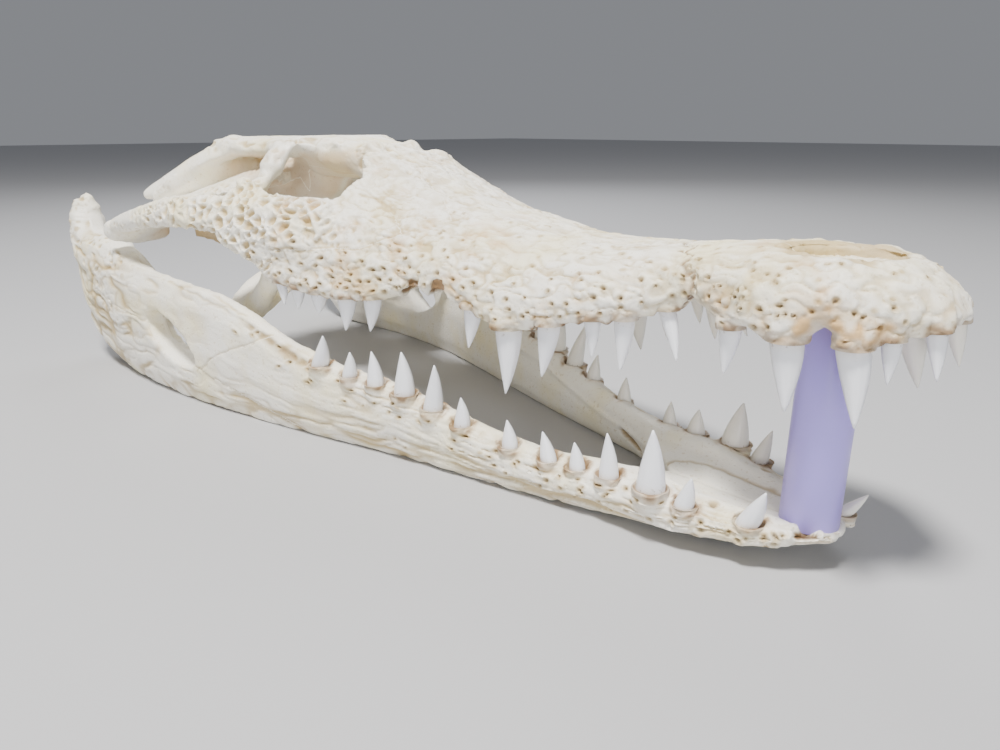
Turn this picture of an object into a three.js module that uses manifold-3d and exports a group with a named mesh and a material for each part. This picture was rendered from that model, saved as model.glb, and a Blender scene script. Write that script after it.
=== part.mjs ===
// Crocodile skull, life size, lying on its lower jaw with the mouth propped open.
//
// Two bodies of bone are each modelled whole and then parted along their sutures:
//   the cranium   snout, brow, skull table, cheek bars, braincase and palate
//   the mandible  the two rami, which meet at the chin
// A short tube stands on the chin and holds the snout up.
//
// Lengths in the tables below are fractions of the skull length, which is measured from the
// tip of the snout to the back of the skull table. Both bodies run back along -X from the tip
// of their own jaw, with +Y on the animal's left and +Z up. Everything is in millimetres once
// a mesh is made.

import * as THREE from 'three';
import Module from 'manifold-3d';

const wasm = await Module();
wasm.setup();

// ---- Driving dimensions -------------------------------------------------------------------

const skullLength = 350;            // mm, snout tip to the back of the skull table
const sutureGap = 0.3;              // mm, the open line between two bones
const restingClearance = 0.4;       // mm, the clearance left where one body sits on another
const gapeAngle = 0.039;            // rad, the snout's lift about the jaw joint
const jawJoint = [-1.08, 0, 0];     // place of the jaw joint on the cranium
const craniumShift = [0.064, 0.0105, 0.1585];  // the cranium's place over the mandible

const facetTolerance = 0.2;         // mm, how far the skin may stray where facets are merged
const sliverSize = 0.08;            // mm, slivers thinner than this are closed up after a cut

const suture = sutureGap / skullLength;
const endSwell = 1.6;               // the extra swelling of a region's sloping end

const tubeRadius = 0.0245;
const tubeX = -0.025;               // centre of the tube, behind the tip of the chin
const tubeWall = 0.0035;
const tubeFoot = 0.0335;
const tubeTop = 0.222;

const boneColour = '#e9e1cf';
const boneRoughness = 0.6;
const tubeColour = '#c9bfe6';
const tubeRoughness = 0.35;

// ---- Curves -------------------------------------------------------------------------------

// A smooth curve through [place, value] stations that never overshoots them.
function along(stations) {
  const rising = [...stations].sort((a, b) => a[0] - b[0]);
  const place = rising.map((station) => station[0]);
  const value = rising.map((station) => station[1]);
  const slope = place.slice(1).map((end, i) => (value[i + 1] - value[i]) / (end - place[i]));
  const tangent = place.map((_, i) => {
    if (i === 0) return slope[0];
    if (i === slope.length) return slope[i - 1];
    const before = slope[i - 1];
    const after = slope[i];
    return before * after > 0 ? 2 * before * after / (before + after) : 0;
  });
  return (at) => {
    if (at <= place[0]) return value[0];
    const last = place.length - 1;
    if (at >= place[last]) return value[last];
    const i = place.findIndex((end) => end > at) - 1;
    const span = place[i + 1] - place[i];
    const t = (at - place[i]) / span;
    const rise = value[i + 1] - value[i];
    const hermite = span * ((t - 2) * t + 1) * t * tangent[i] + span * (t - 1) * t * t * tangent[i + 1];
    return value[i] + rise * t * t * (3 - 2 * t) + hermite;
  };
}

// Evenly spaced numbers from one end to the other.
const spread = (from, to, count) => Array.from({ length: count },
  (_, i) => from + (to - from) * i / (count - 1));

// ---- Cranium tables -----------------------------------------------------------------------

const snoutHalfWidth = along([[0.001, 0.006], [-0.006, 0.022], [-0.015, 0.035], [-0.03, 0.051],
  [-0.055, 0.071], [-0.09, 0.083], [-0.12, 0.084], [-0.15, 0.077], [-0.187, 0.062],
  [-0.205, 0.064], [-0.235, 0.082], [-0.28, 0.101], [-0.35, 0.116], [-0.42, 0.12],
  [-0.48, 0.127], [-0.55, 0.151], [-0.62, 0.171], [-0.68, 0.188], [-0.76, 0.21]]);
const snoutTop = along([[0.001, 0.028], [-0.006, 0.041], [-0.014, 0.05], [-0.028, 0.06],
  [-0.046, 0.067], [-0.062, 0.073], [-0.1, 0.0755], [-0.154, 0.071], [-0.22, 0.066],
  [-0.3, 0.063], [-0.367, 0.069], [-0.42, 0.079], [-0.472, 0.088], [-0.523, 0.105],
  [-0.591, 0.131], [-0.661, 0.158], [-0.71, 0.163], [-0.775, 0.175], [-0.842, 0.173],
  [-0.938, 0.177], [-0.966, 0.179]]);
const toothMargin = along([[0.001, 0.022], [-0.015, 0.016], [-0.035, 0.011], [-0.053, 0.004],
  [-0.074, 0.024], [-0.088, 0.006], [-0.11, 0.005], [-0.13, 0.015], [-0.15, 0.007],
  [-0.167, 0.02], [-0.187, 0.027], [-0.208, 0.015], [-0.24, 0.003], [-0.285, -0.001],
  [-0.335, -0.014], [-0.362, -0.018], [-0.4, -0.008], [-0.44, 0.009], [-0.48, 0.01],
  [-0.53, -0.004], [-0.58, -0.007], [-0.635, -0.003], [-0.68, 0.006], [-0.7, 0.022],
  [-0.76, 0.05]]);
const palateHeight = along([[0.001, 0.024], [-0.06, 0.034], [-0.2, 0.036], [-0.33, 0.018],
  [-0.45, 0.022], [-0.55, 0.016], [-0.65, 0.006], [-0.76, -0.006]]);
const snoutRoundness = along([[0.001, 2], [-0.1, 2.5], [-0.3, 2.15], [-0.5, 1.95], [-0.76, 2]]);
const snoutStations = [0.001, -0.005, -0.014, -0.032, -0.054, -0.073, -0.09, -0.112, -0.132,
  -0.15, -0.187, -0.21, -0.245, -0.29, -0.335, -0.37, -0.405, -0.445, -0.485, -0.535, -0.59,
  -0.64, -0.685, -0.705, -0.76];

const tableHalfWidth = along([[-0.66, 0.04], [-0.7, 0.045], [-0.74, 0.048], [-0.775, 0.066],
  [-0.8, 0.087], [-0.85, 0.098], [-0.9, 0.105], [-0.95, 0.114], [-0.966, 0.112]]);
const tableThickness = 0.026;

const braincaseHalfWidth = along([[-0.79, 0.014], [-0.83, 0.036], [-0.87, 0.052],
  [-0.92, 0.062], [-0.965, 0.07]]);
const braincaseBottom = along([[-0.79, 0.115], [-0.83, 0.07], [-0.87, 0.03], [-0.92, 0.012],
  [-0.965, 0.014]]);

// Each tooth: place along the jaw, crown length, root radius, forward lean, and the crown
// length on the left where that differs. A left crown of 0 is a lost tooth.
const upperTeeth = [
  [-0.013, 0.034, 0.007, 0.15], [-0.035, 0.031, 0.007, 0.05], [-0.055, 0.056, 0.012, 0.16],
  [-0.099, 0.052, 0.0125, 0.1], [-0.149, 0.037, 0.009, -0.05], [-0.215, 0.042, 0.008, 0.35],
  [-0.246, 0.046, 0.0095, 0], [-0.273, 0.033, 0.0078, 0.08], [-0.315, 0.049, 0.0112, -0.1],
  [-0.362, 0.063, 0.0135, 0.02], [-0.41, 0.04, 0.0098, -0.1], [-0.543, 0.036, 0.0105, -0.08],
  [-0.578, 0.036, 0.0115, -0.04], [-0.618, 0.023, 0.0102, -0.05], [-0.65, 0.023, 0.0085, 0.05],
  [-0.675, 0.025, 0.0072, 0.3],
];
const lowerTeeth = [
  [-0.008, 0, 0.0072, 0.75, 0.022], [-0.056, 0.034, 0.0098, 0.42],
  [-0.107, 0.029, 0.0085, 0.25, 0.033], [-0.138, 0.058, 0.0132, 0.06, 0.042],
  [-0.184, 0.043, 0.0095, 0, 0.025], [-0.219, 0.026, 0.008, -0.08],
  [-0.25, 0.028, 0.0085, -0.2, 0], [-0.294, 0.028, 0.0085, -0.04],
  [-0.352, 0.031, 0.009, 0.08], [-0.39, 0.052, 0.011, 0.22], [-0.428, 0.048, 0.012, 0.1],
  [-0.467, 0.038, 0.01, 0.04], [-0.503, 0.03, 0.009, 0.28], [-0.545, 0.038, 0.0108, 0.45],
];
const toothRootDepth = 0.014;
const toothOutwardLean = 0.12;
const toothSides = 5;

// ---- Mandible tables ----------------------------------------------------------------------

const jawOuter = along([[0.004, 0.014], [-0.01, 0.03], [-0.03, 0.046], [-0.06, 0.061],
  [-0.11, 0.079], [-0.15, 0.086], [-0.19, 0.086], [-0.25, 0.097], [-0.33, 0.115],
  [-0.42, 0.135], [-0.5, 0.157], [-0.6, 0.185], [-0.75, 0.22], [-0.9, 0.242], [-1, 0.247],
  [-1.06, 0.248], [-1.12, 0.243], [-1.17, 0.23]]);
const jawInner = along([[0.004, -0.02], [-0.15, -0.02], [-0.172, 0.002], [-0.2, 0.03],
  [-0.25, 0.055], [-0.33, 0.076], [-0.42, 0.096], [-0.5, 0.116], [-0.6, 0.145],
  [-0.7, 0.17], [-0.75, 0.179], [-0.9, 0.184], [-1, 0.167], [-1.1, 0.176], [-1.17, 0.19]]);
const jawTop = along([[0.004, 0.036], [-0.01, 0.042], [-0.056, 0.043], [-0.107, 0.047],
  [-0.14, 0.055], [-0.184, 0.052], [-0.22, 0.049], [-0.25, 0.05], [-0.29, 0.053],
  [-0.35, 0.063], [-0.4, 0.076], [-0.43, 0.084], [-0.5, 0.09], [-0.545, 0.097], [-0.6, 0.112],
  [-0.64, 0.129], [-0.68, 0.146], [-0.72, 0.156], [-0.78, 0.162], [-0.86, 0.168],
  [-0.93, 0.171], [-1, 0.183], [-1.05, 0.195], [-1.1, 0.19], [-1.17, 0.2]]);
const jawBottom = along([[0.004, 0.028], [-0.02, 0.021], [-0.06, 0.014], [-0.11, 0.008],
  [-0.16, 0.002], [-0.22, -0.001], [-0.4, -0.002], [-0.6, -0.005], [-0.85, -0.004],
  [-0.94, -0.006], [-1.02, -0.006], [-1.08, 0.008], [-1.13, 0.044], [-1.17, 0.098]]);
const jawBoxiness = along([[0.004, 2], [-0.06, 2.3], [-0.2, 2.1], [-0.5, 2.2], [-0.7, 2.6],
  [-0.85, 2.8], [-1.17, 2.4]]);
const jawStations = [0.004, -0.008, -0.03, -0.065, -0.11, -0.15, -0.175, -0.2, -0.25, -0.32,
  -0.39, -0.46, -0.53, -0.6, -0.66, -0.72, -0.8, -0.88, -0.95, -1.01, -1.06, -1.12, -1.17];
const jawSides = 10;

// ---- Making solids ------------------------------------------------------------------------

const toVector = ([x, y, z]) => new THREE.Vector3(x, y, z).multiplyScalar(skullLength);

function signedVolume(points, faces) {
  let volume = 0;
  for (let i = 0; i < faces.length; i += 3) {
    const [a, b, c] = [points[faces[i]], points[faces[i + 1]], points[faces[i + 2]]];
    volume += a.dot(b.clone().cross(c)) / 6;
  }
  return volume;
}

// A closed solid from its corners and faces, turned to face outwards.
function solid(points, faces) {
  const outward = signedVolume(points, faces) > 0 ? faces : [...faces].reverse();
  return new wasm.Manifold(new wasm.Mesh({
    numProp: 3,
    vertProperties: new Float32Array(points.flatMap((point) => point.toArray())),
    triVerts: new Uint32Array(outward),
  }));
}

// Skin stretched over a row of rings, with a flat fan over each end.
function loft(rings) {
  const sides = rings[0].length;
  const points = rings.flat().map(toVector);
  const faces = [];
  for (let ring = 0; ring < rings.length - 1; ring += 1) {
    for (let side = 0; side < sides; side += 1) {
      const near = ring * sides + side;
      const next = ring * sides + (side + 1) % sides;
      faces.push(near, next, next + sides, near, next + sides, near + sides);
    }
  }
  const ends = [rings[0], rings[rings.length - 1]];
  ends.forEach((end, which) => {
    const centre = new THREE.Vector3();
    end.forEach((point) => centre.add(toVector(point)));
    const hub = points.push(centre.divideScalar(sides)) - 1;
    const first = which * (rings.length - 1) * sides;
    for (let side = 0; side < sides; side += 1) {
      const rim = [first + side, first + (side + 1) % sides];
      faces.push(hub, ...(which === 0 ? rim.reverse() : rim));
    }
  });
  return solid(points, faces);
}

// One ring of a strap: an ellipse about a centre, half as wide and thick as given.
function ellipseRing(centre, across, through, sides) {
  return spread(0, 2 * Math.PI, sides + 1).slice(0, sides).map((angle) => {
    const point = centre.clone();
    point.addScaledVector(across, Math.cos(angle));
    point.addScaledVector(through, Math.sin(angle));
    return point.toArray();
  });
}

// A bar or plate of bone that follows a spine. Widths and thicknesses are half values, spread
// evenly along the spine, and its flat side faces the given way.
function strap({ spine, widths, thicknesses, facing, side = 1, steps = 5, sides = 6 }) {
  const curve = new THREE.CatmullRomCurve3(
    spine.map(([x, y, z]) => new THREE.Vector3(x, y * side, z)), false, 'centripetal');
  const evenly = (values) => along(values.map((value, i) => [i / (values.length - 1), value]));
  const [width, thickness] = [evenly(widths), evenly(thicknesses)];
  const flat = new THREE.Vector3(facing[0], facing[1] * side, facing[2]);
  const frameAt = (t) => {
    const heading = curve.getTangent(t);
    const across = heading.clone().cross(flat).normalize();
    const through = across.clone().cross(heading).normalize();
    return { heading, across, through };
  };
  const ringAt = (t, scale, overrun) => {
    const { heading, across, through } = frameAt(t);
    const centre = curve.getPoint(t).addScaledVector(heading, overrun * thickness(t));
    return ellipseRing(centre, across.multiplyScalar(width(t) * scale),
      through.multiplyScalar(thickness(t) * scale), sides);
  };
  const rings = spread(0, 1, steps).map((t) => ringAt(t, 1, 0));
  const bluntEnds = [ringAt(0, 0.6, -0.6), ringAt(1, 0.6, 0.6)];
  return loft([bluntEnds[0], ...rings, bluntEnds[1]]);
}

// A column with an outline seen from above or from the side. Its two ends may follow the
// place along the skull, and the whole of it can be swollen by a suture's width. The outline
// of a strip runs down one edge and back up the other, with a point across from each.
function prism({ plane, outline, from, to, strip = false, side = 1 }, grow = 0) {
  const level = (end, x) => (typeof end === 'function' ? end(x) : end);
  const corners = outline.map(([x, other]) => new THREE.Vector2(x, other));
  const count = corners.length;
  const turn = THREE.ShapeUtils.area(corners) > 0 ? 1 : -1;
  const outwards = (a, b) => new THREE.Vector2(b.y - a.y, a.x - b.x).normalize();
  const pushed = corners.map((corner, i) => {
    const before = outwards(corners[(i + count - 1) % count], corner);
    const push = before.add(outwards(corner, corners[(i + 1) % count]));
    return corner.clone().addScaledVector(push, 2 * turn * grow / Math.max(push.lengthSq(), 1));
  });
  const place = ({ x, y }, depth) => (plane === 'top' ? [x, y * side, depth] : [x, depth * side, y]);
  const endGrow = endSwell * grow;
  const points = [
    ...pushed.map((corner, i) => place(corner, level(from, corners[i].x) - endGrow)),
    ...pushed.map((corner, i) => place(corner, level(to, corners[i].x) + endGrow)),
  ].map(toVector);
  const rungs = spread(0, count / 2 - 2, count / 2 - 1);
  const lid = strip
    ? rungs.flatMap((i) => [[i, i + 1, count - 2 - i], [i, count - 2 - i, count - 1 - i]])
    : THREE.ShapeUtils.triangulateShape(corners, []);
  const faces = lid.flatMap(([a, b, c]) => [c, b, a, a + count, b + count, c + count]);
  corners.forEach((_, i) => {
    const next = (i + 1) % count;
    const wall = [i, next, next + count, i, next + count, i + count];
    faces.push(...(turn > 0 ? wall : wall.reverse()));
  });
  return solid(points, faces);
}

const join = (solids) => wasm.Manifold.union(solids);

// The largest body of a cut, without the offcuts and slivers.
function mainBody(body) {
  const bodies = body.decompose();
  const largest = bodies.reduce((best, one) => (one.volume() > best.volume() ? one : best));
  return largest.simplify(sliverSize);
}

// ---- Teeth --------------------------------------------------------------------------------

// A curved cone rooted in the jaw. rise is 1 for a lower tooth and -1 for an upper one.
function tooth([x, rightLength, radius, lean, leftLength = rightLength], y, gum, side, rise) {
  const length = side > 0 ? leftLength : rightLength;
  if (length === 0) return [];
  const profile = [[-toothRootDepth / length, 0.95], [0.5, 0.8], [1, 0.06]];
  const rings = profile.map(([t, scale]) => {
    const bend = t > 0 ? t * t : 0;
    const centre = new THREE.Vector3(x + lean * length * t,
      (y + toothOutwardLean * length * bend) * side, gum + rise * length * t);
    return ellipseRing(centre, new THREE.Vector3(radius * scale, 0, 0),
      new THREE.Vector3(0, radius * scale * 0.88, 0), toothSides);
  });
  return [loft(rings)];
}

// ---- Cranium ------------------------------------------------------------------------------

// One ring round the snout: the palate, the tooth-bearing rim, the cheek and the roof.
function snoutRing(x) {
  const width = snoutHalfWidth(x);
  const top = snoutTop(x);
  const margin = toothMargin(x);
  const palate = Math.max(palateHeight(x), margin - 0.004);
  const power = 2 / snoutRoundness(x);
  const rimWidth = Math.min(0.03, width * 0.4);
  const shoulder = Math.min(margin + 0.012, top - 0.002);
  const half = [
    [(width - rimWidth) * 0.55, palate],
    [width - rimWidth, (palate + margin) / 2],
    [width - rimWidth * 0.72, margin],
    [width - Math.min(0.005, width * 0.1), margin + 0.001],
  ];
  spread(0, Math.PI / 2, 6).slice(0, 5).forEach((angle) => {
    half.push([width * Math.cos(angle) ** power,
      shoulder + (top - shoulder) * Math.sin(angle) ** power]);
  });
  return [
    [x, 0, palate],
    ...half.map(([y, z]) => [x, y, z]),
    [x, 0, top],
    ...half.reverse().map(([y, z]) => [x, -y, z]),
  ];
}

// A ring with rounded corners across the skull, for the table and the braincase.
function blockRing(x, halfWidth, bottom, top, boxiness, sides) {
  const power = 2 / boxiness;
  const bulge = (value) => Math.sign(value) * Math.abs(value) ** power;
  return spread(0, 2 * Math.PI, sides + 1).slice(0, sides).map((angle) => [
    x,
    halfWidth * bulge(Math.cos(angle)),
    (top + bottom) / 2 + (top - bottom) / 2 * bulge(Math.sin(angle)),
  ]);
}

// A hole whose oval outline changes from level to level, seen from above.
function ovalShaft(levels, side, sides = 14) {
  return loft(levels.map(({ z, centre, radii, shift = 0 }) => ellipseRing(
    new THREE.Vector3(centre[0], centre[1] * side, z),
    new THREE.Vector3(radii[0], shift * side, 0),
    new THREE.Vector3(0, radii[1], 0), sides)));
}

function snoutAndFace() {
  return loft(snoutStations.map(snoutRing));
}

function skullTable() {
  const stations = [-0.66, -0.73, -0.765, -0.8, -0.86, -0.95, -0.966];
  return loft(stations.map((x) => blockRing(x, tableHalfWidth(x), snoutTop(x) - tableThickness,
    snoutTop(x), 4.5, 12)));
}

// The thick underside of the brow, which thins towards the table.
function browKeel() {
  const stations = [-0.7, -0.76, -0.8, -0.85];
  const bottom = along([[-0.7, 0.122], [-0.76, 0.119], [-0.8, 0.119], [-0.85, 0.14]]);
  return loft(stations.map((x) => blockRing(x, 0.052, bottom(x), snoutTop(x) - 0.004, 2.4, 8)));
}

function braincase() {
  const stations = [-0.79, -0.83, -0.87, -0.92, -0.965];
  return loft(stations.map((x) => blockRing(x, braincaseHalfWidth(x), braincaseBottom(x),
    snoutTop(x) - 0.01, 2.6, 10)));
}

function occipitalCondyle() {
  const ball = spread(0.2, Math.PI - 0.2, 5).map((angle) => blockRing(
    -0.985 - 0.021 * Math.cos(angle), 0.021 * Math.sin(angle), 0.07 - 0.019 * Math.sin(angle),
    0.07 + 0.019 * Math.sin(angle), 2, 8));
  return loft(ball);
}

// The cheek: the jugal bar that deepens forwards into the face, and the bar's rear root.
function cheekBar(side) {
  return strap({
    spine: [[-0.62, 0.148, 0.064], [-0.7, 0.176, 0.075], [-0.75, 0.189, 0.082],
      [-0.8, 0.204, 0.085], [-0.86, 0.214, 0.086], [-0.93, 0.225, 0.078], [-1.03, 0.235, 0.06]],
    widths: [0.042, 0.038, 0.0285, 0.0235, 0.022, 0.0185, 0.013],
    thicknesses: [0.014, 0.013, 0.012, 0.011, 0.0115, 0.012, 0.012],
    facing: [0, 1, 0.45],
    side,
    steps: 8,
  });
}

function postorbitalBar(side) {
  return strap({
    spine: [[-0.802, 0.08, 0.163], [-0.796, 0.1, 0.143], [-0.787, 0.128, 0.115],
      [-0.782, 0.168, 0.09], [-0.785, 0.19, 0.08]],
    widths: [0.028, 0.017, 0.015, 0.021, 0.028],
    thicknesses: [0.012, 0.01, 0.009, 0.009, 0.009],
    facing: [0, 0.6, 0.8],
    side,
  });
}

function quadrateBody(side) {
  return strap({
    spine: [[-0.865, 0.055, 0.128], [-0.91, 0.095, 0.112], [-0.965, 0.14, 0.09],
      [-1.02, 0.18, 0.067], [-1.052, 0.2, 0.054]],
    widths: [0.04, 0.05, 0.05, 0.045, 0.038],
    thicknesses: [0.016, 0.014, 0.014, 0.016, 0.018],
    facing: [-0.25, 0.35, 0.9],
    side,
    sides: 8,
  });
}

// The rounded roller at the quadrate's end, which sits in the lower jaw.
function quadrateCondyle(side) {
  return strap({
    spine: [[-1.05, 0.165, 0.05], [-1.056, 0.2, 0.049], [-1.05, 0.236, 0.053]],
    widths: [0.016, 0.019, 0.016],
    thicknesses: [0.016, 0.019, 0.016],
    facing: [0, 0, 1],
    side,
    steps: 3,
    sides: 8,
  });
}

function squamosalProng(side) {
  return strap({
    spine: [[-0.93, 0.085, 0.165], [-0.975, 0.112, 0.15], [-1.02, 0.145, 0.122],
      [-1.062, 0.172, 0.099]],
    widths: [0.03, 0.026, 0.02, 0.012],
    thicknesses: [0.014, 0.014, 0.013, 0.01],
    facing: [-0.2, 0.5, 0.85],
    side,
  });
}

// The wall that closes the back of the skull between the braincase and the prong.
function occipitalWing(side) {
  return strap({
    spine: [[-0.945, 0.03, 0.12], [-0.96, 0.09, 0.125], [-1, 0.135, 0.112], [-1.04, 0.165, 0.09]],
    widths: [0.045, 0.036, 0.03, 0.02],
    thicknesses: [0.014, 0.013, 0.012, 0.01],
    facing: [-1, 0.35, 0],
    side,
  });
}

function palatineBar() {
  return strap({
    spine: [[-0.5, 0, 0.036], [-0.62, 0, 0.026], [-0.72, 0, 0.02], [-0.8, 0, 0.016]],
    widths: [0.036, 0.028, 0.026, 0.04],
    thicknesses: [0.02, 0.022, 0.022, 0.022],
    facing: [0, 0, 1],
    sides: 8,
  });
}

function pterygoidPlate() {
  const stations = [-0.775, -0.81, -0.86, -0.95];
  const halfWidth = along([[-0.775, 0.035], [-0.8, 0.055], [-0.86, 0.068], [-0.95, 0.04]]);
  const bottom = along([[-0.775, -0.004], [-0.86, -0.012], [-0.95, -0.002]]);
  const top = along([[-0.775, 0.035], [-0.84, 0.03], [-0.88, 0.04], [-0.95, 0.03]]);
  return loft(stations.map((x) => blockRing(x, halfWidth(x), bottom(x), top(x), 2.8, 10)));
}

function pterygoidWing(side) {
  return strap({
    spine: [[-0.845, 0.03, 0.006], [-0.838, 0.085, -0.008], [-0.822, 0.126, -0.028],
      [-0.815, 0.15, -0.044]],
    widths: [0.06, 0.056, 0.054, 0.046],
    thicknesses: [0.012, 0.008, 0.009, 0.012],
    facing: [0, 0.3, 1],
    side,
    sides: 8,
  });
}

function ectopterygoid(side) {
  return strap({
    spine: [[-0.68, 0.158, 0.034], [-0.712, 0.16, 0.02], [-0.745, 0.156, -0.008],
      [-0.79, 0.15, -0.038], [-0.815, 0.148, -0.045]],
    widths: [0.02, 0.019, 0.016, 0.02, 0.02],
    thicknesses: [0.014, 0.0125, 0.0115, 0.0115, 0.011],
    facing: [0, 1, 0],
    side,
  });
}

// The ragged flange that links the pterygoid with the quadrate under the cheek.
function quadrateFlange(side) {
  return strap({
    spine: [[-0.885, 0.045, 0.03], [-0.93, 0.085, 0.05], [-0.985, 0.135, 0.065]],
    widths: [0.03, 0.036, 0.03],
    thicknesses: [0.007, 0.006, 0.008],
    facing: [0.75, 0.65, 0],
    side,
    steps: 3,
  });
}

const nostril = () => loft([
  { z: 0.04, x: -0.094, length: 0.022, width: 0.016 },
  { z: 0.052, x: -0.09, length: 0.038, width: 0.027 },
  { z: 0.066, x: -0.087, length: 0.044, width: 0.034 },
  { z: 0.11, x: -0.087, length: 0.047, width: 0.038 },
].map(({ z, x, length, width }) => ellipseRing(new THREE.Vector3(x, 0, z),
  new THREE.Vector3(length, 0, 0), new THREE.Vector3(0, width, 0), 12)));

// The eye socket, which runs down through the palate.
const eyeSocket = (side) => ovalShaft([
  { z: -0.12, centre: [-0.635, 0.087], radii: [0.115, 0.044], shift: -0.03 },
  { z: 0.035, centre: [-0.64, 0.09], radii: [0.115, 0.047], shift: -0.03 },
  { z: 0.075, centre: [-0.69, 0.1], radii: [0.1, 0.056], shift: -0.02 },
  { z: 0.145, centre: [-0.716, 0.104], radii: [0.079, 0.057], shift: -0.014 },
  { z: 0.26, centre: [-0.716, 0.112], radii: [0.079, 0.06], shift: -0.014 },
], side, 12);

// The open space between the two eye sockets, under the brow.
const betweenEyes = () => loft(spread(-0.09, 0.09, 3).map((y) => spread(0, 2 * Math.PI, 13)
  .slice(0, 12).map((angle) => [
    -0.725 + 0.082 * Math.cos(angle), y,
    0.09 + 0.04 * Math.sin(angle) + 0.25 * 0.082 * -Math.cos(angle)])));

const upperWindow = (side) => ovalShaft([
  { z: 0.05, centre: [-0.865, 0.098], radii: [0.024, 0.02] },
  { z: 0.12, centre: [-0.868, 0.076], radii: [0.024, 0.017] },
  { z: 0.15, centre: [-0.872, 0.05], radii: [0.026, 0.017] },
  { z: 0.21, centre: [-0.873, 0.047], radii: [0.028, 0.019] },
], side, 10);

const spinalOpening = () => loft(spread(-1.05, -0.945, 3).map((x) => blockRing(x, 0.015, 0.096,
  0.122, 2, 10)));

const innerNostril = () => loft([
  { z: -0.08, radius: 0.016 }, { z: -0.006, radius: 0.013 }, { z: 0.012, radius: 0.008 },
].map(({ z, radius }) => ellipseRing(new THREE.Vector3(-0.885, 0, z),
  new THREE.Vector3(radius, 0, 0), new THREE.Vector3(0, radius * 0.9, 0), 10)));

// The empty sockets where two upper teeth have been lost.
const emptySocket = (x, side) => ovalShaft([
  { z: -0.05, centre: [x, snoutHalfWidth(x) - 0.013], radii: [0.013, 0.009] },
  { z: 0.03, centre: [x, snoutHalfWidth(x) - 0.015], radii: [0.009, 0.006] },
], side, 8);

function wholeCranium() {
  const bothSides = (maker) => [maker(1), maker(-1)];
  const bone = join([
    snoutAndFace(),
    ...bothSides(cheekBar),
  ]);
  const openFace = bone.subtract(join([
    nostril(),
    betweenEyes(),
    ...bothSides(eyeSocket),
    ...bothSides((side) => emptySocket(-0.448, side)),
    ...bothSides((side) => emptySocket(-0.488, side)),
  ]));
  const rear = join([
    skullTable(),
    browKeel(),
    braincase(),
    occipitalCondyle(),
    palatineBar(),
    pterygoidPlate(),
    ...bothSides(postorbitalBar),
    ...bothSides(quadrateBody),
    ...bothSides(quadrateCondyle),
    ...bothSides(squamosalProng),
    ...bothSides(occipitalWing),
    ...bothSides(pterygoidWing),
    ...bothSides(ectopterygoid),
    ...bothSides(quadrateFlange),
  ]).subtract(join([
    spinalOpening(),
    innerNostril(),
    ...bothSides(upperWindow),
  ]));
  const teeth = upperTeeth.flatMap((row) => bothSides((side) => {
    const y = snoutHalfWidth(row[0]) - Math.min(0.013, 0.35 * snoutHalfWidth(row[0]));
    return tooth(row, y, toothMargin(row[0]) + 0.001, side, -1);
  }));
  return join([join([openFace, rear]).simplify(facetTolerance), ...teeth.flat()]);
}

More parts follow.
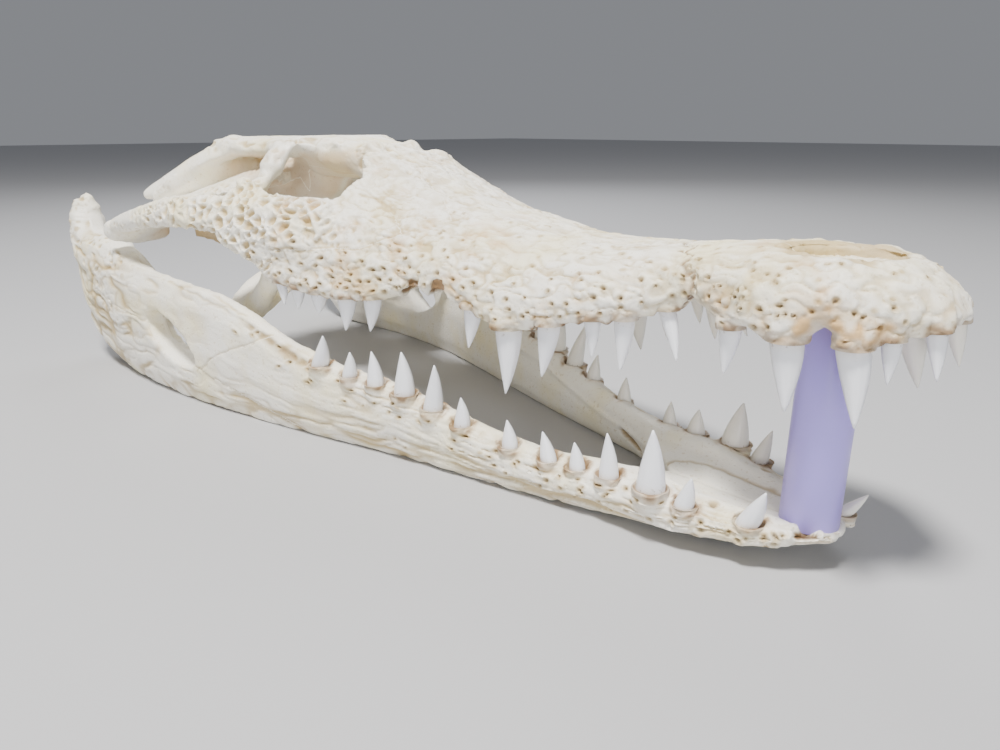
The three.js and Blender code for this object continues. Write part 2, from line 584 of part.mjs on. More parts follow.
// The regions that the sutures mark out, in the order they come off the whole. A paired
// region is repeated on the other side.
const roofLess = (depth) => (x) => snoutTop(x) - depth;
const craniumRegions = [
  {
    name: 'jugal', paired: true, plane: 'side', from: (x) => 0.09 - 0.24 * (x + 0.52), to: 0.32,
    outline: [[-0.52, 0.064], [-0.56, 0.051], [-0.665, 0.046], [-0.71, 0], [-0.936, 0.01],
      [-0.936, 0.125], [-0.66, 0.125], [-0.565, 0.098]],
  },
  {
    name: 'quadrate', paired: true, plane: 'side', from: 0.085, to: 0.34,
    outline: [[-0.937, -0.02], [-0.937, 0.124], [-0.98, 0.118], [-1.04, 0.094], [-1.075, 0.083],
      [-1.15, 0.08], [-1.15, -0.02]],
  },
  {
    name: 'ectopterygoid', paired: true, plane: 'top', from: -0.2, to: 0.046,
    outline: [[-0.696, 0.1], [-0.74, 0.132], [-0.8, 0.136], [-0.9, 0.128], [-0.9, 0.25],
      [-0.696, 0.25]],
  },
  {
    name: 'pterygoid', plane: 'top', from: -0.2,
    to: along([[-0.76, 0.05], [-0.87, 0.028], [-0.93, 0.006]]),
    outline: [[-0.757, -0.14], [-0.757, 0.14], [-0.87, 0.14], [-0.97, 0.14], [-0.97, -0.14],
      [-0.87, -0.14]],
  },
  {
    name: 'palatine', plane: 'top', from: -0.1, to: 0.056,
    outline: [[-0.51, 0], [-0.53, 0.028], [-0.6, 0.044], [-0.757, 0.06], [-0.757, -0.06],
      [-0.6, -0.044], [-0.53, -0.028]],
  },
  {
    name: 'squamosal', paired: true, plane: 'top', to: 0.3,
    from: along([[-0.76, 0.075], [-0.83, 0.085], [-0.85, 0.125], [-0.94, 0.125], [-1.08, 0.084]]),
    outline: [[-0.76, 0.25], [-0.765, 0.095], [-0.815, 0.034], [-0.85, 0.034], [-0.95, 0.034],
      [-1.1, 0.12], [-1.1, 0.25], [-0.94, 0.25], [-0.85, 0.25], [-0.83, 0.25]],
  },
  {
    name: 'parietal', plane: 'top', from: 0.143, to: 0.3,
    outline: [[-0.812, -0.034], [-0.812, 0.034], [-1.0, 0.06], [-1.0, -0.06]],
  },
  {
    name: 'frontal', plane: 'top', from: roofLess(0.036), to: 0.3,
    outline: [[-0.555, 0], [-0.59, 0.018], [-0.64, 0.034], [-0.7, 0.052], [-0.815, 0.09],
      [-0.815, -0.09], [-0.7, -0.052], [-0.64, -0.034], [-0.59, -0.018]],
  },
  {
    name: 'lacrimal', paired: true, plane: 'top', from: 0.062, to: 0.3,
    outline: [[-0.485, 0.066], [-0.53, 0.04], [-0.575, 0.034], [-0.6, 0.012], [-0.76, 0.03],
      [-0.76, 0.16], [-0.56, 0.16], [-0.53, 0.095]],
  },
  {
    name: 'nasal', paired: true, plane: 'top', from: roofLess(0.017), to: 0.3,
    strip: true,
    outline: [[-0.225, 0.002], [-0.245, 0.014], [-0.33, 0.023], [-0.43, 0.028], [-0.5, 0.036],
      [-0.55, 0.036], [-0.6, 0.02], [-0.6, 0], [-0.55, 0], [-0.5, 0], [-0.43, 0], [-0.33, 0],
      [-0.245, 0], [-0.225, 0]],
  },
  {
    name: 'premaxilla', paired: true, plane: 'top', from: -0.3, to: 0.3,
    outline: [[0.1, 0], [-0.232, 0], [-0.228, 0.012], [-0.212, 0.02], [-0.216, 0.032],
      [-0.198, 0.04], [-0.2, 0.052], [-0.184, 0.06], [-0.188, 0.14], [0.1, 0.14]],
  },
  {
    name: 'maxilla', paired: true, plane: 'top', from: -0.3, to: 0.3,
    outline: [[0.1, 0], [-0.735, 0], [-0.735, 0.3], [0.1, 0.3]],
  },
];

// ---- Mandible -----------------------------------------------------------------------------

function ramus(side) {
  return loft(jawStations.map((x) => {
    const [outer, inner] = [jawOuter(x), jawInner(x)];
    const [top, bottom] = [jawTop(x), jawBottom(x)];
    const power = 2 / jawBoxiness(x);
    const bulge = (value) => Math.sign(value) * Math.abs(value) ** power;
    return spread(0, 2 * Math.PI, jawSides + 1).slice(0, jawSides).map((angle) => [
      x,
      side * ((outer + inner) / 2 + (outer - inner) / 2 * bulge(Math.cos(angle))),
      (top + bottom) / 2 + (top - bottom) / 2 * bulge(Math.sin(angle)),
    ]);
  }));
}

// The upturned process behind the jaw joint.
function retroarticular(side) {
  return strap({
    spine: [[-1.06, 0.205, 0.15], [-1.12, 0.208, 0.15], [-1.16, 0.207, 0.17],
      [-1.181, 0.203, 0.205], [-1.186, 0.199, 0.233], [-1.182, 0.197, 0.245]],
    widths: [0.04, 0.036, 0.031, 0.028, 0.026, 0.013],
    thicknesses: [0.048, 0.046, 0.034, 0.024, 0.02, 0.01],
    facing: [0.3, 0, 1],
    side,
    steps: 7,
    sides: 8,
  });
}

// The hollow behind the tooth row that the jaw muscle filled, open above and inwards.
function muscleHollow(side) {
  const stations = [-0.71, -0.74, -0.8, -0.86, -0.92, -0.972];
  const floor = along([[-0.71, 0.13], [-0.74, 0.075], [-0.8, 0.052], [-0.86, 0.055],
    [-0.92, 0.066], [-0.972, 0.12]]);
  const reach = along([[-0.71, 0.183], [-0.74, 0.19], [-0.86, 0.208], [-0.972, 0.204]]);
  return loft(stations.map((x) => [
    [x, side * reach(x), 0.26],
    [x, side * reach(x), floor(x) + 0.012],
    [x, side * (reach(x) - 0.01), floor(x)],
    [x, side * Math.min(jawInner(x) + 0.012, reach(x) - 0.02), floor(x) + 0.002],
    [x, side * (jawInner(x) - 0.05), floor(x) + 0.008],
    [x, side * (jawInner(x) - 0.05), 0.26],
  ]));
}

const jawWindow = (side) => loft(spread(0.19, 0.3, 2).map((y) => spread(0, 2 * Math.PI, 15)
  .slice(0, 14).map((angle) => {
    const [long, short] = [0.061 * Math.cos(angle), 0.0265 * Math.sin(angle)];
    return [-0.818 + long * 0.92 + short * 0.4, side * y, 0.083 - long * 0.4 + short * 0.92];
  })));

// The shallow trough behind the chin, between the two tooth rows.
const chinTrough = () => loft([
  { x: 0.03, width: 0.006, floor: 0.036 }, { x: -0.02, width: 0.03, floor: 0.033 },
  { x: -0.07, width: 0.042, floor: 0.032 }, { x: -0.13, width: 0.052, floor: 0.034 },
  { x: -0.22, width: 0.06, floor: 0.03 },
].map(({ x, width, floor }) => [
  [x, -width, 0.09], [x, -width * 0.8, floor + 0.008], [x, 0, floor],
  [x, width * 0.8, floor + 0.008], [x, width, 0.09]]));

// The cup that the quadrate's roller turns in.
const jointCup = (side) => {
  const hinge = -1.056 + craniumShift[0] + 0.0015;
  return strap({
    spine: [[hinge + 0.004, 0.13, 0.2095], [hinge, 0.2, 0.2085], [hinge + 0.004, 0.27, 0.2115]],
    widths: [0.0215, 0.0215, 0.0215],
    thicknesses: [0.0215, 0.0215, 0.0215],
    facing: [0, 0, 1],
    side,
    steps: 3,
    sides: 10,
  });
};

// The level seat that the prop tube stands on, in the empty first socket and the chin.
const tubeSeat = () => loft([tubeFoot - restingClearance / skullLength, 0.3].map(
  (z) => ellipseRing(new THREE.Vector3(tubeX, 0, z),
    new THREE.Vector3(tubeRadius + suture, 0, 0),
    new THREE.Vector3(0, tubeRadius + suture, 0), 20)));

const restingPlane = () => prism({
  plane: 'top', from: -0.1, to: 0, outline: [[-2, -1], [1, -1], [1, 1], [-2, 1]],
});

function wholeMandible(side) {
  const ground = join([
    jointCup(side),
    muscleHollow(side),
    jawWindow(side),
    chinTrough(),
    tubeSeat(),
    restingPlane(),
  ]);
  const bone = join([ramus(side), retroarticular(side)]).simplify(facetTolerance).subtract(ground);
  const teeth = lowerTeeth.flatMap((row) => {
    const y = Math.max(jawOuter(row[0]) - 0.012, 0.031);
    return tooth(row, y, jawTop(row[0]) - 0.004, side, 1);
  });
  return join([bone, ...teeth]);
}

const mandibleRegions = [
  {
    name: 'articular', plane: 'top', from: 0.1, to: 0.4,
    outline: [[-0.965, 0.1], [-0.965, 0.224], [-1.08, 0.224], [-1.13, 0.3], [-1.3, 0.3],
      [-1.3, 0.1]],
  },
  {
    name: 'angular', plane: 'side', from: 0.05, to: 0.34,
    outline: [[-0.55, -0.1], [-0.575, 0.002], [-0.63, 0.022], [-0.7, 0.04], [-0.77, 0.056],
      [-0.82, 0.08], [-0.87, 0.1], [-0.95, 0.104], [-1.05, 0.122], [-1.16, 0.16], [-1.3, 0.2],
      [-1.3, -0.1]],
  },
  {
    name: 'surangular', plane: 'side', from: 0.05, to: 0.34,
    outline: [[-0.6, 0.4], [-0.605, 0.122], [-0.65, 0.102], [-0.71, 0.078], [-0.755, 0.05],
      [-0.79, -0.1], [-1.3, -0.1], [-1.3, 0.4]],
  },
  {
    name: 'splenial', plane: 'top', from: 0.014,
    to: (x) => jawTop(x) - 0.02,
    strip: true,
    outline: [[-0.17, 0.006], [-0.25, 0.066], [-0.36, 0.094], [-0.48, 0.123], [-0.6, 0.157],
      [-0.6, 0.11], [-0.48, 0.08], [-0.36, 0.05], [-0.25, 0.02], [-0.17, -0.02]],
  },
  {
    name: 'dentary', plane: 'top', from: -0.2, to: 0.4,
    outline: [[0.1, suture / 2], [-0.9, suture / 2], [-0.9, 0.4], [0.1, 0.4]],
  },
];

// ---- Prop ---------------------------------------------------------------------------------

function propTube() {
  const [low, high] = [tubeFoot, tubeTop].map((z) => z * skullLength);
  const [outer, inner] = [tubeRadius, tubeRadius - tubeWall].map((r) => r * skullLength);
  const wall = [[inner, low], [outer, low], [outer, high], [inner, high], [inner, low]];
  const geometry = new THREE.LatheGeometry(
    wall.map(([radius, z]) => new THREE.Vector2(radius, z)), 24);
  return geometry.rotateX(Math.PI / 2);
}

// ---- Parting and placing ------------------------------------------------------------------

function meshOf(body, name) {
  const { vertProperties, triVerts } = body.getMesh();
  const geometry = new THREE.BufferGeometry();
  geometry.setAttribute('position', new THREE.BufferAttribute(vertProperties, 3));
  geometry.setIndex(new THREE.BufferAttribute(triVerts, 1));
  const material = new THREE.MeshStandardMaterial({
    color: boneColour, roughness: boneRoughness, metalness: 0,
  });
  const mesh = new THREE.Mesh(geometry, material);
  mesh.name = name;
  return mesh;
}

// Takes each region off the whole in turn, and leaves a suture's width round it.
function partAlongSutures(whole, regions) {
  const bones = [];
  let rest = whole;
  regions.forEach((region) => {
    const sides = region.paired ? [1, -1] : [region.side ?? 1];
    sides.forEach((side) => {
      const suffix = { 1: '_left', '-1': '_right' }[side];
      const name = region.name + (region.paired || region.side ? suffix : '');
      const placed = { ...region, side };
      bones.push(meshOf(mainBody(rest.intersect(prism(placed))), name));
      rest = rest.subtract(prism(placed, suture));
    });
  });
  return { bones, rest };
}

function makeCranium() {
  const cranium = new THREE.Group();
  const { bones, rest } = partAlongSutures(wholeCranium(), craniumRegions);
  cranium.add(...bones, meshOf(mainBody(rest), 'braincase'));
  return cranium;
}

function makeMandible() {
  const mandible = new THREE.Group();
  [1, -1].forEach((side) => {
    const regions = mandibleRegions.map((region) => ({ ...region, side }));
    mandible.add(...partAlongSutures(wholeMandible(side), regions).bones);
  });
  return mandible;
}

function makeProp() {
  const tube = new THREE.Mesh(propTube(), new THREE.MeshStandardMaterial({
    color: tubeColour, roughness: tubeRoughness, metalness: 0,
  }));
  tube.name = 'prop_tube';
  tube.position.x = tubeX * skullLength;
  return tube;
}

const cranium = makeCranium();
const [jointX, , jointZ] = jawJoint.map((value) => value * skullLength);
cranium.position.set(-jointX, 0, -jointZ);

const hinge = new THREE.Group();
hinge.add(cranium);
hinge.rotation.y = -gapeAngle;
const [shiftX, shiftY, shiftZ] = craniumShift.map((value) => value * skullLength);
hinge.position.set(jointX + shiftX, shiftY, shiftZ);

const mandible = makeMandible();
const skull = new THREE.Group();
skull.add(hinge, mandible, makeProp());

// The origin is under the middle of the whole, on the surface it rests on.
const bounds = new THREE.Box3().setFromObject(skull);
const middle = bounds.getCenter(new THREE.Vector3());
skull.position.set(-middle.x, -middle.y, -bounds.min.z);

export default skull;
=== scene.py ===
"""Crocodile skull: the looks of the bones, teeth and prop tube over the solid frame.

Places on the skull are fractions of its length, from the snout tip to the back of the skull
table, in the frame of the jaw they belong to, with the snout along +X and the left side at +Y.
Grain, cells and what is raised are sized in millimetres, and their last number is a seed.
"""

import math

import bmesh
import bpy
import numpy as np
from mathutils import Matrix, Vector
from mathutils.bvhtree import BVHTree


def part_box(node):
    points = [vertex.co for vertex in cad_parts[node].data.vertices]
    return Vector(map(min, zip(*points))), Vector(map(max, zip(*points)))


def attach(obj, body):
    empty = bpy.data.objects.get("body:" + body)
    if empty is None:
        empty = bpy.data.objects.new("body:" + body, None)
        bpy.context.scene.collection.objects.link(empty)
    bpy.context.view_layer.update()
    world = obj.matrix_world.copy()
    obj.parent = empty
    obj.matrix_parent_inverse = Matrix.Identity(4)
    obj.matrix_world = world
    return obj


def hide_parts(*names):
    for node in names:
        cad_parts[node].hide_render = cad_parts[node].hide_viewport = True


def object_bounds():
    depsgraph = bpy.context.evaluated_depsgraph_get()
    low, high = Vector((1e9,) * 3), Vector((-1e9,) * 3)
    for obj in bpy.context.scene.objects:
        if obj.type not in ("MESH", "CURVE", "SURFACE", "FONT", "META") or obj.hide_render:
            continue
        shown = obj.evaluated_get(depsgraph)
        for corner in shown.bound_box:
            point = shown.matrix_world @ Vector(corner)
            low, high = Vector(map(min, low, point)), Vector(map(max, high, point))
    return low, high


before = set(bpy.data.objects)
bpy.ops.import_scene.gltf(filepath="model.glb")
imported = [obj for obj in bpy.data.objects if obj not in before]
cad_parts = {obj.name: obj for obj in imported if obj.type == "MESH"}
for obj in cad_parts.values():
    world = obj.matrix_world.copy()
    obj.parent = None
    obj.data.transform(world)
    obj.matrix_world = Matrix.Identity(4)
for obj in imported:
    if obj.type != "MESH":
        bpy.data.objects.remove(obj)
solid_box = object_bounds()

# ---- Driving dimensions --------------------------------------------------------------------

SKULL_LENGTH = 0.350
MM_PER_LENGTH = SKULL_LENGTH * 1000
MM = 1 / MM_PER_LENGTH               # a millimetre in skull lengths

TUBE_X = -0.025
TUBE_WALL = 0.0035
JAW_JOINT = Vector((-1.08, 0, 0))
GAPE = 0.039
CRANIUM_SHIFT = Vector((0.064, 0.0105, 0.1585))

SKULL_MIDDLE = (0, 0, 0.06)          # metres, what the lights aim at
CAMERA_PLACE = Vector((0.2074, -0.5923, 0.3564))
CAMERA_TURN = 2.3744                 # where the camera looks, round from +X
CAMERA_DIP = 0.3174
CAMERA_LENS = 27.23                  # mm
CAMERA_SENSOR = 36                   # mm

BODY_VOXEL = 0.0013
FINE_LEVELS = 1
SMOOTHING_PASSES = 30
SOFTENING_PASSES = 60
JOINING_SWELL = 0.0002               # closes the open sutures of the solids
CREASE_ANGLE = 1.0                   # radians, past which an edge stays sharp

SOCKET_DEPTH = 1.5 * MM
SOCKET_WALL = 1.3 * MM               # the bone round a tooth's root
SOCKET_GAP = 0.4 * MM
ROOT_BULGE = 10 * MM                 # how far the bulge of a root reaches from the gum
CHIN_SOCKET = (-0.013, -0.029, 0.040)
CHIN_SOCKET_RADIUS = 0.0105
GRIME_BAND = 0.01                    # how far the grime spreads from the gums
TOOTH_SEAT = 0.016                   # how far a tooth reaches into its socket
TOOTH_OUTWARD_LEAN = 0.12
TOOTH_SIDES = 30
CROWN_STEPS = 13
TOOTH_FLUTING = 0.026
TOOTH_FLATNESS = 0.88
CROWN_SIDE_SHADE = {1: 0.9, -1: 0.05}       # how far the crowns are painted towards warm shade (yellow), on the left and on the right
TUBE_SIDES = 120
TUBE_RIM = 0.00035                   # metres that the tube's rims are eased
FAR_OUT = 0.5                        # a place beside or over the skull, to look at it from

# ---- Frames of the two jaws ----------------------------------------------------------------

tube_low, tube_high = (Vector(corner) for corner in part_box("prop_tube"))
tube_centre = (tube_low + tube_high) / 2
chin_tip = Vector((tube_centre.x - TUBE_X * SKULL_LENGTH, tube_centre.y, 0))
JAW_FRAME = Matrix.Translation(chin_tip) @ Matrix.Scale(SKULL_LENGTH, 4)
CRANIUM_FRAME = (JAW_FRAME @ Matrix.Translation(JAW_JOINT + CRANIUM_SHIFT)
                 @ Matrix.Rotation(-GAPE, 4, "Y") @ Matrix.Translation(-JAW_JOINT))


def in_frame(points, matrix):
    """Carries rows of points by a matrix."""
    turn = np.array(matrix)
    return points @ turn[:3, :3].T + turn[:3, 3]


# ---- Curves along the jaws -----------------------------------------------------------------

def along(stations):
    """A smooth curve through (place, value) stations that never overshoots them."""
    place, value = np.array(sorted(stations)).T
    slope = np.diff(value) / np.diff(place)
    tangent = np.empty_like(place)
    tangent[0], tangent[-1] = slope[0], slope[-1]
    before, after = slope[:-1], slope[1:]
    rising = before * after > 0
    total = np.where(rising, before + after, 1)
    tangent[1:-1] = np.where(rising, 2 * before * after / total, 0)

    def curve(at):
        at = np.clip(at, place[0], place[-1])
        i = np.clip(np.searchsorted(place, at, side="right") - 1, 0, len(place) - 2)
        span = place[i + 1] - place[i]
        t = (at - place[i]) / span
        rise = value[i + 1] - value[i]
        bend = span * (t - 1) * t * ((t - 1) * tangent[i] + t * tangent[i + 1])
        return value[i] + rise * t * t * (3 - 2 * t) + bend
    return curve


def shifted(curve, rise):
    """A curve carried up by a fixed amount."""
    return lambda at: curve(at) + rise


snout_half_width = along([
    (0.001, 0.006), (-0.006, 0.022), (-0.015, 0.035), (-0.03, 0.051), (-0.055, 0.071),
    (-0.09, 0.083), (-0.12, 0.084), (-0.15, 0.077), (-0.187, 0.062), (-0.205, 0.064),
    (-0.235, 0.082), (-0.28, 0.101), (-0.35, 0.116), (-0.42, 0.12), (-0.48, 0.127),
    (-0.55, 0.151), (-0.62, 0.171), (-0.68, 0.188), (-0.76, 0.21)])
snout_top = along([
    (0.001, 0.028), (-0.006, 0.041), (-0.014, 0.05), (-0.028, 0.06), (-0.046, 0.067),
    (-0.062, 0.073), (-0.1, 0.0755), (-0.154, 0.071), (-0.22, 0.066), (-0.3, 0.063),
    (-0.367, 0.069), (-0.42, 0.079), (-0.472, 0.088), (-0.523, 0.105), (-0.591, 0.131),
    (-0.661, 0.158), (-0.71, 0.163), (-0.775, 0.175), (-0.842, 0.173), (-0.938, 0.177),
    (-0.966, 0.179)])
tooth_margin = along([
    (0.001, 0.022), (-0.015, 0.016), (-0.035, 0.011), (-0.053, 0.004), (-0.074, 0.024),
    (-0.088, 0.006), (-0.11, 0.005), (-0.13, 0.015), (-0.15, 0.007), (-0.167, 0.02),
    (-0.187, 0.027), (-0.208, 0.015), (-0.24, 0.003), (-0.285, -0.001), (-0.335, -0.014),
    (-0.362, -0.018), (-0.4, -0.008), (-0.44, 0.009), (-0.48, 0.01), (-0.53, -0.004),
    (-0.58, -0.007), (-0.635, -0.003), (-0.68, 0.006), (-0.7, 0.022), (-0.76, 0.05)])
jaw_outer = along([
    (0.004, 0.014), (-0.01, 0.03), (-0.03, 0.046), (-0.06, 0.061), (-0.11, 0.079),
    (-0.15, 0.086), (-0.19, 0.086), (-0.25, 0.097), (-0.33, 0.115), (-0.42, 0.135),
    (-0.5, 0.157), (-0.6, 0.185), (-0.75, 0.22), (-0.9, 0.242), (-1, 0.247), (-1.06, 0.248),
    (-1.12, 0.243), (-1.17, 0.23)])
jaw_top = along([
    (0.004, 0.036), (-0.01, 0.042), (-0.056, 0.043), (-0.107, 0.047), (-0.14, 0.055),
    (-0.184, 0.052), (-0.22, 0.049), (-0.25, 0.05), (-0.29, 0.053), (-0.35, 0.063),
    (-0.4, 0.076), (-0.43, 0.084), (-0.5, 0.09), (-0.545, 0.097), (-0.6, 0.112),
    (-0.64, 0.129), (-0.68, 0.146), (-0.72, 0.156), (-0.78, 0.162), (-0.86, 0.168),
    (-0.93, 0.171), (-1, 0.183), (-1.05, 0.195), (-1.1, 0.19), (-1.17, 0.2)])
jaw_bottom = along([
    (0.004, 0.028), (-0.02, 0.021), (-0.06, 0.014), (-0.11, 0.008), (-0.16, 0.002),
    (-0.22, -0.001), (-0.4, -0.002), (-0.6, -0.005), (-0.85, -0.004), (-0.94, -0.006),
    (-1.02, -0.006), (-1.08, 0.008), (-1.13, 0.044), (-1.17, 0.098)])

# Each tooth: place, crown length, root radius, forward lean, and the crown length on the left
# where that differs. A crown length of 0 is a lost tooth.
UPPER_TEETH = [
    (-0.013, 0.034, 0.007, 0.15), (-0.035, 0.031, 0.007, 0.05), (-0.055, 0.056, 0.012, 0.16),
    (-0.099, 0.052, 0.0125, 0.1), (-0.149, 0.037, 0.009, -0.05), (-0.215, 0.042, 0.008, 0.35),
    (-0.246, 0.046, 0.0095, 0), (-0.273, 0.033, 0.0078, 0.08), (-0.315, 0.049, 0.0112, -0.1),
    (-0.362, 0.063, 0.0135, 0.02), (-0.41, 0.04, 0.0098, -0.1), (-0.543, 0.036, 0.0105, -0.08),
    (-0.578, 0.036, 0.0115, -0.04), (-0.618, 0.023, 0.0102, -0.05), (-0.65, 0.023, 0.0085, 0.05),
    (-0.675, 0.025, 0.0072, 0.3)]
LOWER_TEETH = [
    (-0.008, 0, 0.0072, 0.75, 0.022), (-0.056, 0.034, 0.0098, 0.42),
    (-0.107, 0.029, 0.0085, 0.25, 0.033), (-0.138, 0.058, 0.0132, 0.06, 0.042),
    (-0.184, 0.043, 0.0095, 0, 0.025), (-0.219, 0.026, 0.008, -0.08),
    (-0.25, 0.028, 0.0085, -0.2, 0), (-0.294, 0.028, 0.0085, -0.04),
    (-0.352, 0.031, 0.009, 0.08), (-0.39, 0.052, 0.011, 0.22), (-0.428, 0.048, 0.012, 0.1),
    (-0.467, 0.038, 0.01, 0.04), (-0.503, 0.03, 0.009, 0.28), (-0.545, 0.038, 0.0108, 0.45)]

# Corners inside the orbits, under the brow and where the cheek bar begins: place and radius.
SOFT_ZONES = [
    ((-0.76, 0.05, 0.145), 0.04), ((-0.7, 0.05, 0.14), 0.035), ((-0.672, 0.046, 0.134), 0.028),
    ((-0.79, 0.12, 0.12), 0.022), ((-0.8, 0.08, 0.15), 0.03), ((-0.93, 0.2, 0.075), 0.035),
    ((-0.87, 0.12, 0.13), 0.035)]

# The torn sockets under the snout: place, half length, and depth in mm.
LOST_UPPER_TEETH = [(-0.448, 0.016, 3.0), (-0.488, 0.017, 3.0), (-0.19, 0.012, 1.2)]

# Rows of pores: the height over the gum (or the depth under the jaw's top), the spacing and the
# radius range in mm.
UPPER_PORE_ROWS = [
    (0.0115, 0.0165, (0.35, 0.65)), (0.0225, 0.018, (0.4, 0.78)), (0.034, 0.023, (0.35, 0.7)),
    (0.046, 0.033, (0.3, 0.55)), (0.057, 0.05, (0.3, 0.5))]
LOWER_PORE_ROWS = [
    (0.012, 0.024, (0.4, 0.75)), (0.02, 0.03, (0.45, 0.85)), (0.03, 0.04, (0.4, 0.7))]
FLANK_PORES, ROOF_PORES, JAW_PORES = 22, 60, 24      # scattered singly, on each side

# Sutures that are carved as lines, seen from above or from the side.
SNOUT_SEAM = [(-0.232, 0), (-0.228, 0.012), (-0.212, 0.02), (-0.216, 0.032), (-0.198, 0.04),
              (-0.2, 0.052), (-0.184, 0.06), (-0.188, 0.14)]
CHEEK_SEAM = [(-0.665, 0.046), (-0.56, 0.051), (-0.52, 0.064), (-0.565, 0.098), (-0.6, 0.106)]
HINGE_SEAM = [(-0.937, 0.02), (-0.937, 0.124)]
LOWER_JAW_SEAMS = [
    [(-0.82, 0.16), (-0.6, 0.128), (-0.65, 0.102), (-0.71, 0.078), (-0.755, 0.05)],
    [(-0.55, -0.02), (-0.575, 0.002), (-0.63, 0.022), (-0.7, 0.04), (-0.77, 0.056)],
    [(-0.87, 0.1), (-0.95, 0.104), (-1.05, 0.122), (-1.16, 0.16)]]
CHIN_SEAM = [(-0.04, 0.022), (-0.1, 0.026), (-0.15, 0.028), (-0.17, 0.02), (-0.176, 0.006)]


def tooth_rows(rows, upper):
    """Each tooth on both sides: its side, gum point, crown length, radius and forward lean."""
    teeth = []
    for x, right_length, radius, lean, *left in rows:
        for side in (1, -1):
            length = left[0] if left and side > 0 else right_length
            if upper:
                width = float(snout_half_width(x))
                gum = Vector((x, side * (width - min(0.013, 0.35 * width)),
                              float(tooth_margin(x)) + 0.001))
            else:
                gum = Vector((x, side * max(float(jaw_outer(x)) - 0.012, 0.031),
                              float(jaw_top(x)) - 0.004))
            teeth.append((side, gum, length, radius, lean))
    return teeth


# ---- Grain and pits, worked out at points --------------------------------------------------

def scatter(cell, seed):
    """Steady pseudo-random numbers from 0 to 1, one for each whole-numbered cell."""
    mixed = (cell[..., 0] * 73856093 ^ cell[..., 1] * 19349663 ^ cell[..., 2] * 83492791
             ^ (seed * 2654435761)) & 0xFFFFFFFF
    mixed = (mixed ^ (mixed >> 15)) * 2246822519 & 0xFFFFFFFF
    mixed = (mixed ^ (mixed >> 13)) * 3266489917 & 0xFFFFFFFF
    return ((mixed ^ (mixed >> 16)) & 0xFFFFFF) / float(0xFFFFFF)


def grain(points, size, seed):
    """Smooth noise from -1 to 1 whose swells have the given size, one or three numbers."""
    at = points / np.asarray(size, dtype=float)
    cell = np.floor(at).astype(np.int64)
    part = at - cell
    part = part * part * (3 - 2 * part)
    total = np.zeros(len(points))
    for corner in np.ndindex(2, 2, 2):
        offset = np.array(corner)
        weight = np.prod(np.where(offset == 1, part, 1 - part), axis=1)
        total += weight * scatter(cell + offset, seed)
    return 2 * total - 1


def cells(points, size, seed):
    """How far each point is from the border of its scattered cell, in cell sizes."""
    at = points / np.asarray(size, dtype=float)
    cell = np.floor(at).astype(np.int64)
    nearest = np.full(len(points), np.inf)
    second = nearest.copy()
    for corner in np.ndindex(3, 3, 3):
        there = cell + np.array(corner) - 1
        centre = there + np.stack([scatter(there, seed + axis) for axis in range(3)], axis=1)
        distance = np.linalg.norm(at - centre, axis=1)
        second = np.minimum(second, np.maximum(nearest, distance))
        nearest = np.minimum(nearest, distance)
    return second - nearest


def ease(value, low, high):
    """0 below low, 1 above high and smooth between them."""
    t = np.clip((value - low) / (high - low), 0, 1)
    return t * t * (3 - 2 * t)


def fade(value, low, high):
    """1 below low, 0 above high and smooth between them."""
    return 1 - ease(value, low, high)


def hump(value, width):
    """1 where the value is 0, falling smoothly to nothing on both sides."""
    return np.exp(-(value / width) ** 2)


def window(value, low, high, soft):
    """1 between low and high, and 0 beyond, with soft shoulders."""
    return ease(value, low - soft, low + soft) * fade(value, high - soft, high + soft)


# ---- Meshes --------------------------------------------------------------------------------

def new_object(name, mesh):
    piece = bpy.data.objects.new(name, mesh)
    bpy.context.scene.collection.objects.link(piece)
    return piece


def mesh_from(shape, name):
    """Turns a finished bmesh into a mesh."""
    mesh = bpy.data.meshes.new(name)
    shape.to_mesh(mesh)
    shape.free()
    return mesh


def smooth_shaded(mesh):
    mesh.polygons.foreach_set("use_smooth", np.ones(len(mesh.polygons), dtype=bool))


def mesh_rows(mesh, name):
    """The points (co) or normals (normal) of a mesh, in rows."""
    rows = np.empty(len(mesh.vertices) * 3, dtype=np.float32)
    mesh.vertices.foreach_get(name, rows)
    return rows.reshape(-1, 3).astype(float)


def set_mesh_points(mesh, points):
    mesh.vertices.foreach_set("co", points.astype(np.float32).ravel())
    mesh.update()


def with_modifiers(piece):
    """The piece's mesh with its modifiers applied, in place of the old one."""
    shaped = piece.evaluated_get(bpy.context.evaluated_depsgraph_get())
    mesh = bpy.data.meshes.new_from_object(shaped)
    old = piece.data
    piece.modifiers.clear()
    piece.data = mesh
    bpy.data.meshes.remove(old)
    return mesh


def towards_neighbours(points, edges, count):
    """How far each point is from the mean of its neighbours."""
    first, second = edges.T
    total = np.stack([
        np.bincount(first, points[second, axis], len(points))
        + np.bincount(second, points[first, axis], len(points))
        for axis in range(3)], axis=1)
    return total / count - points


def neighbour_count(points, edges):
    return np.maximum(np.bincount(edges.ravel(), minlength=len(points)), 1)[:, None]


def relax(points, edges, passes):
    """Evens a surface out without shrinking it."""
    count = neighbour_count(points, edges)
    for _ in range(passes):
        for factor in (0.55, -0.57):     # in, and then out by a little more
            points = points + factor * towards_neighbours(points, edges, count)
    return points


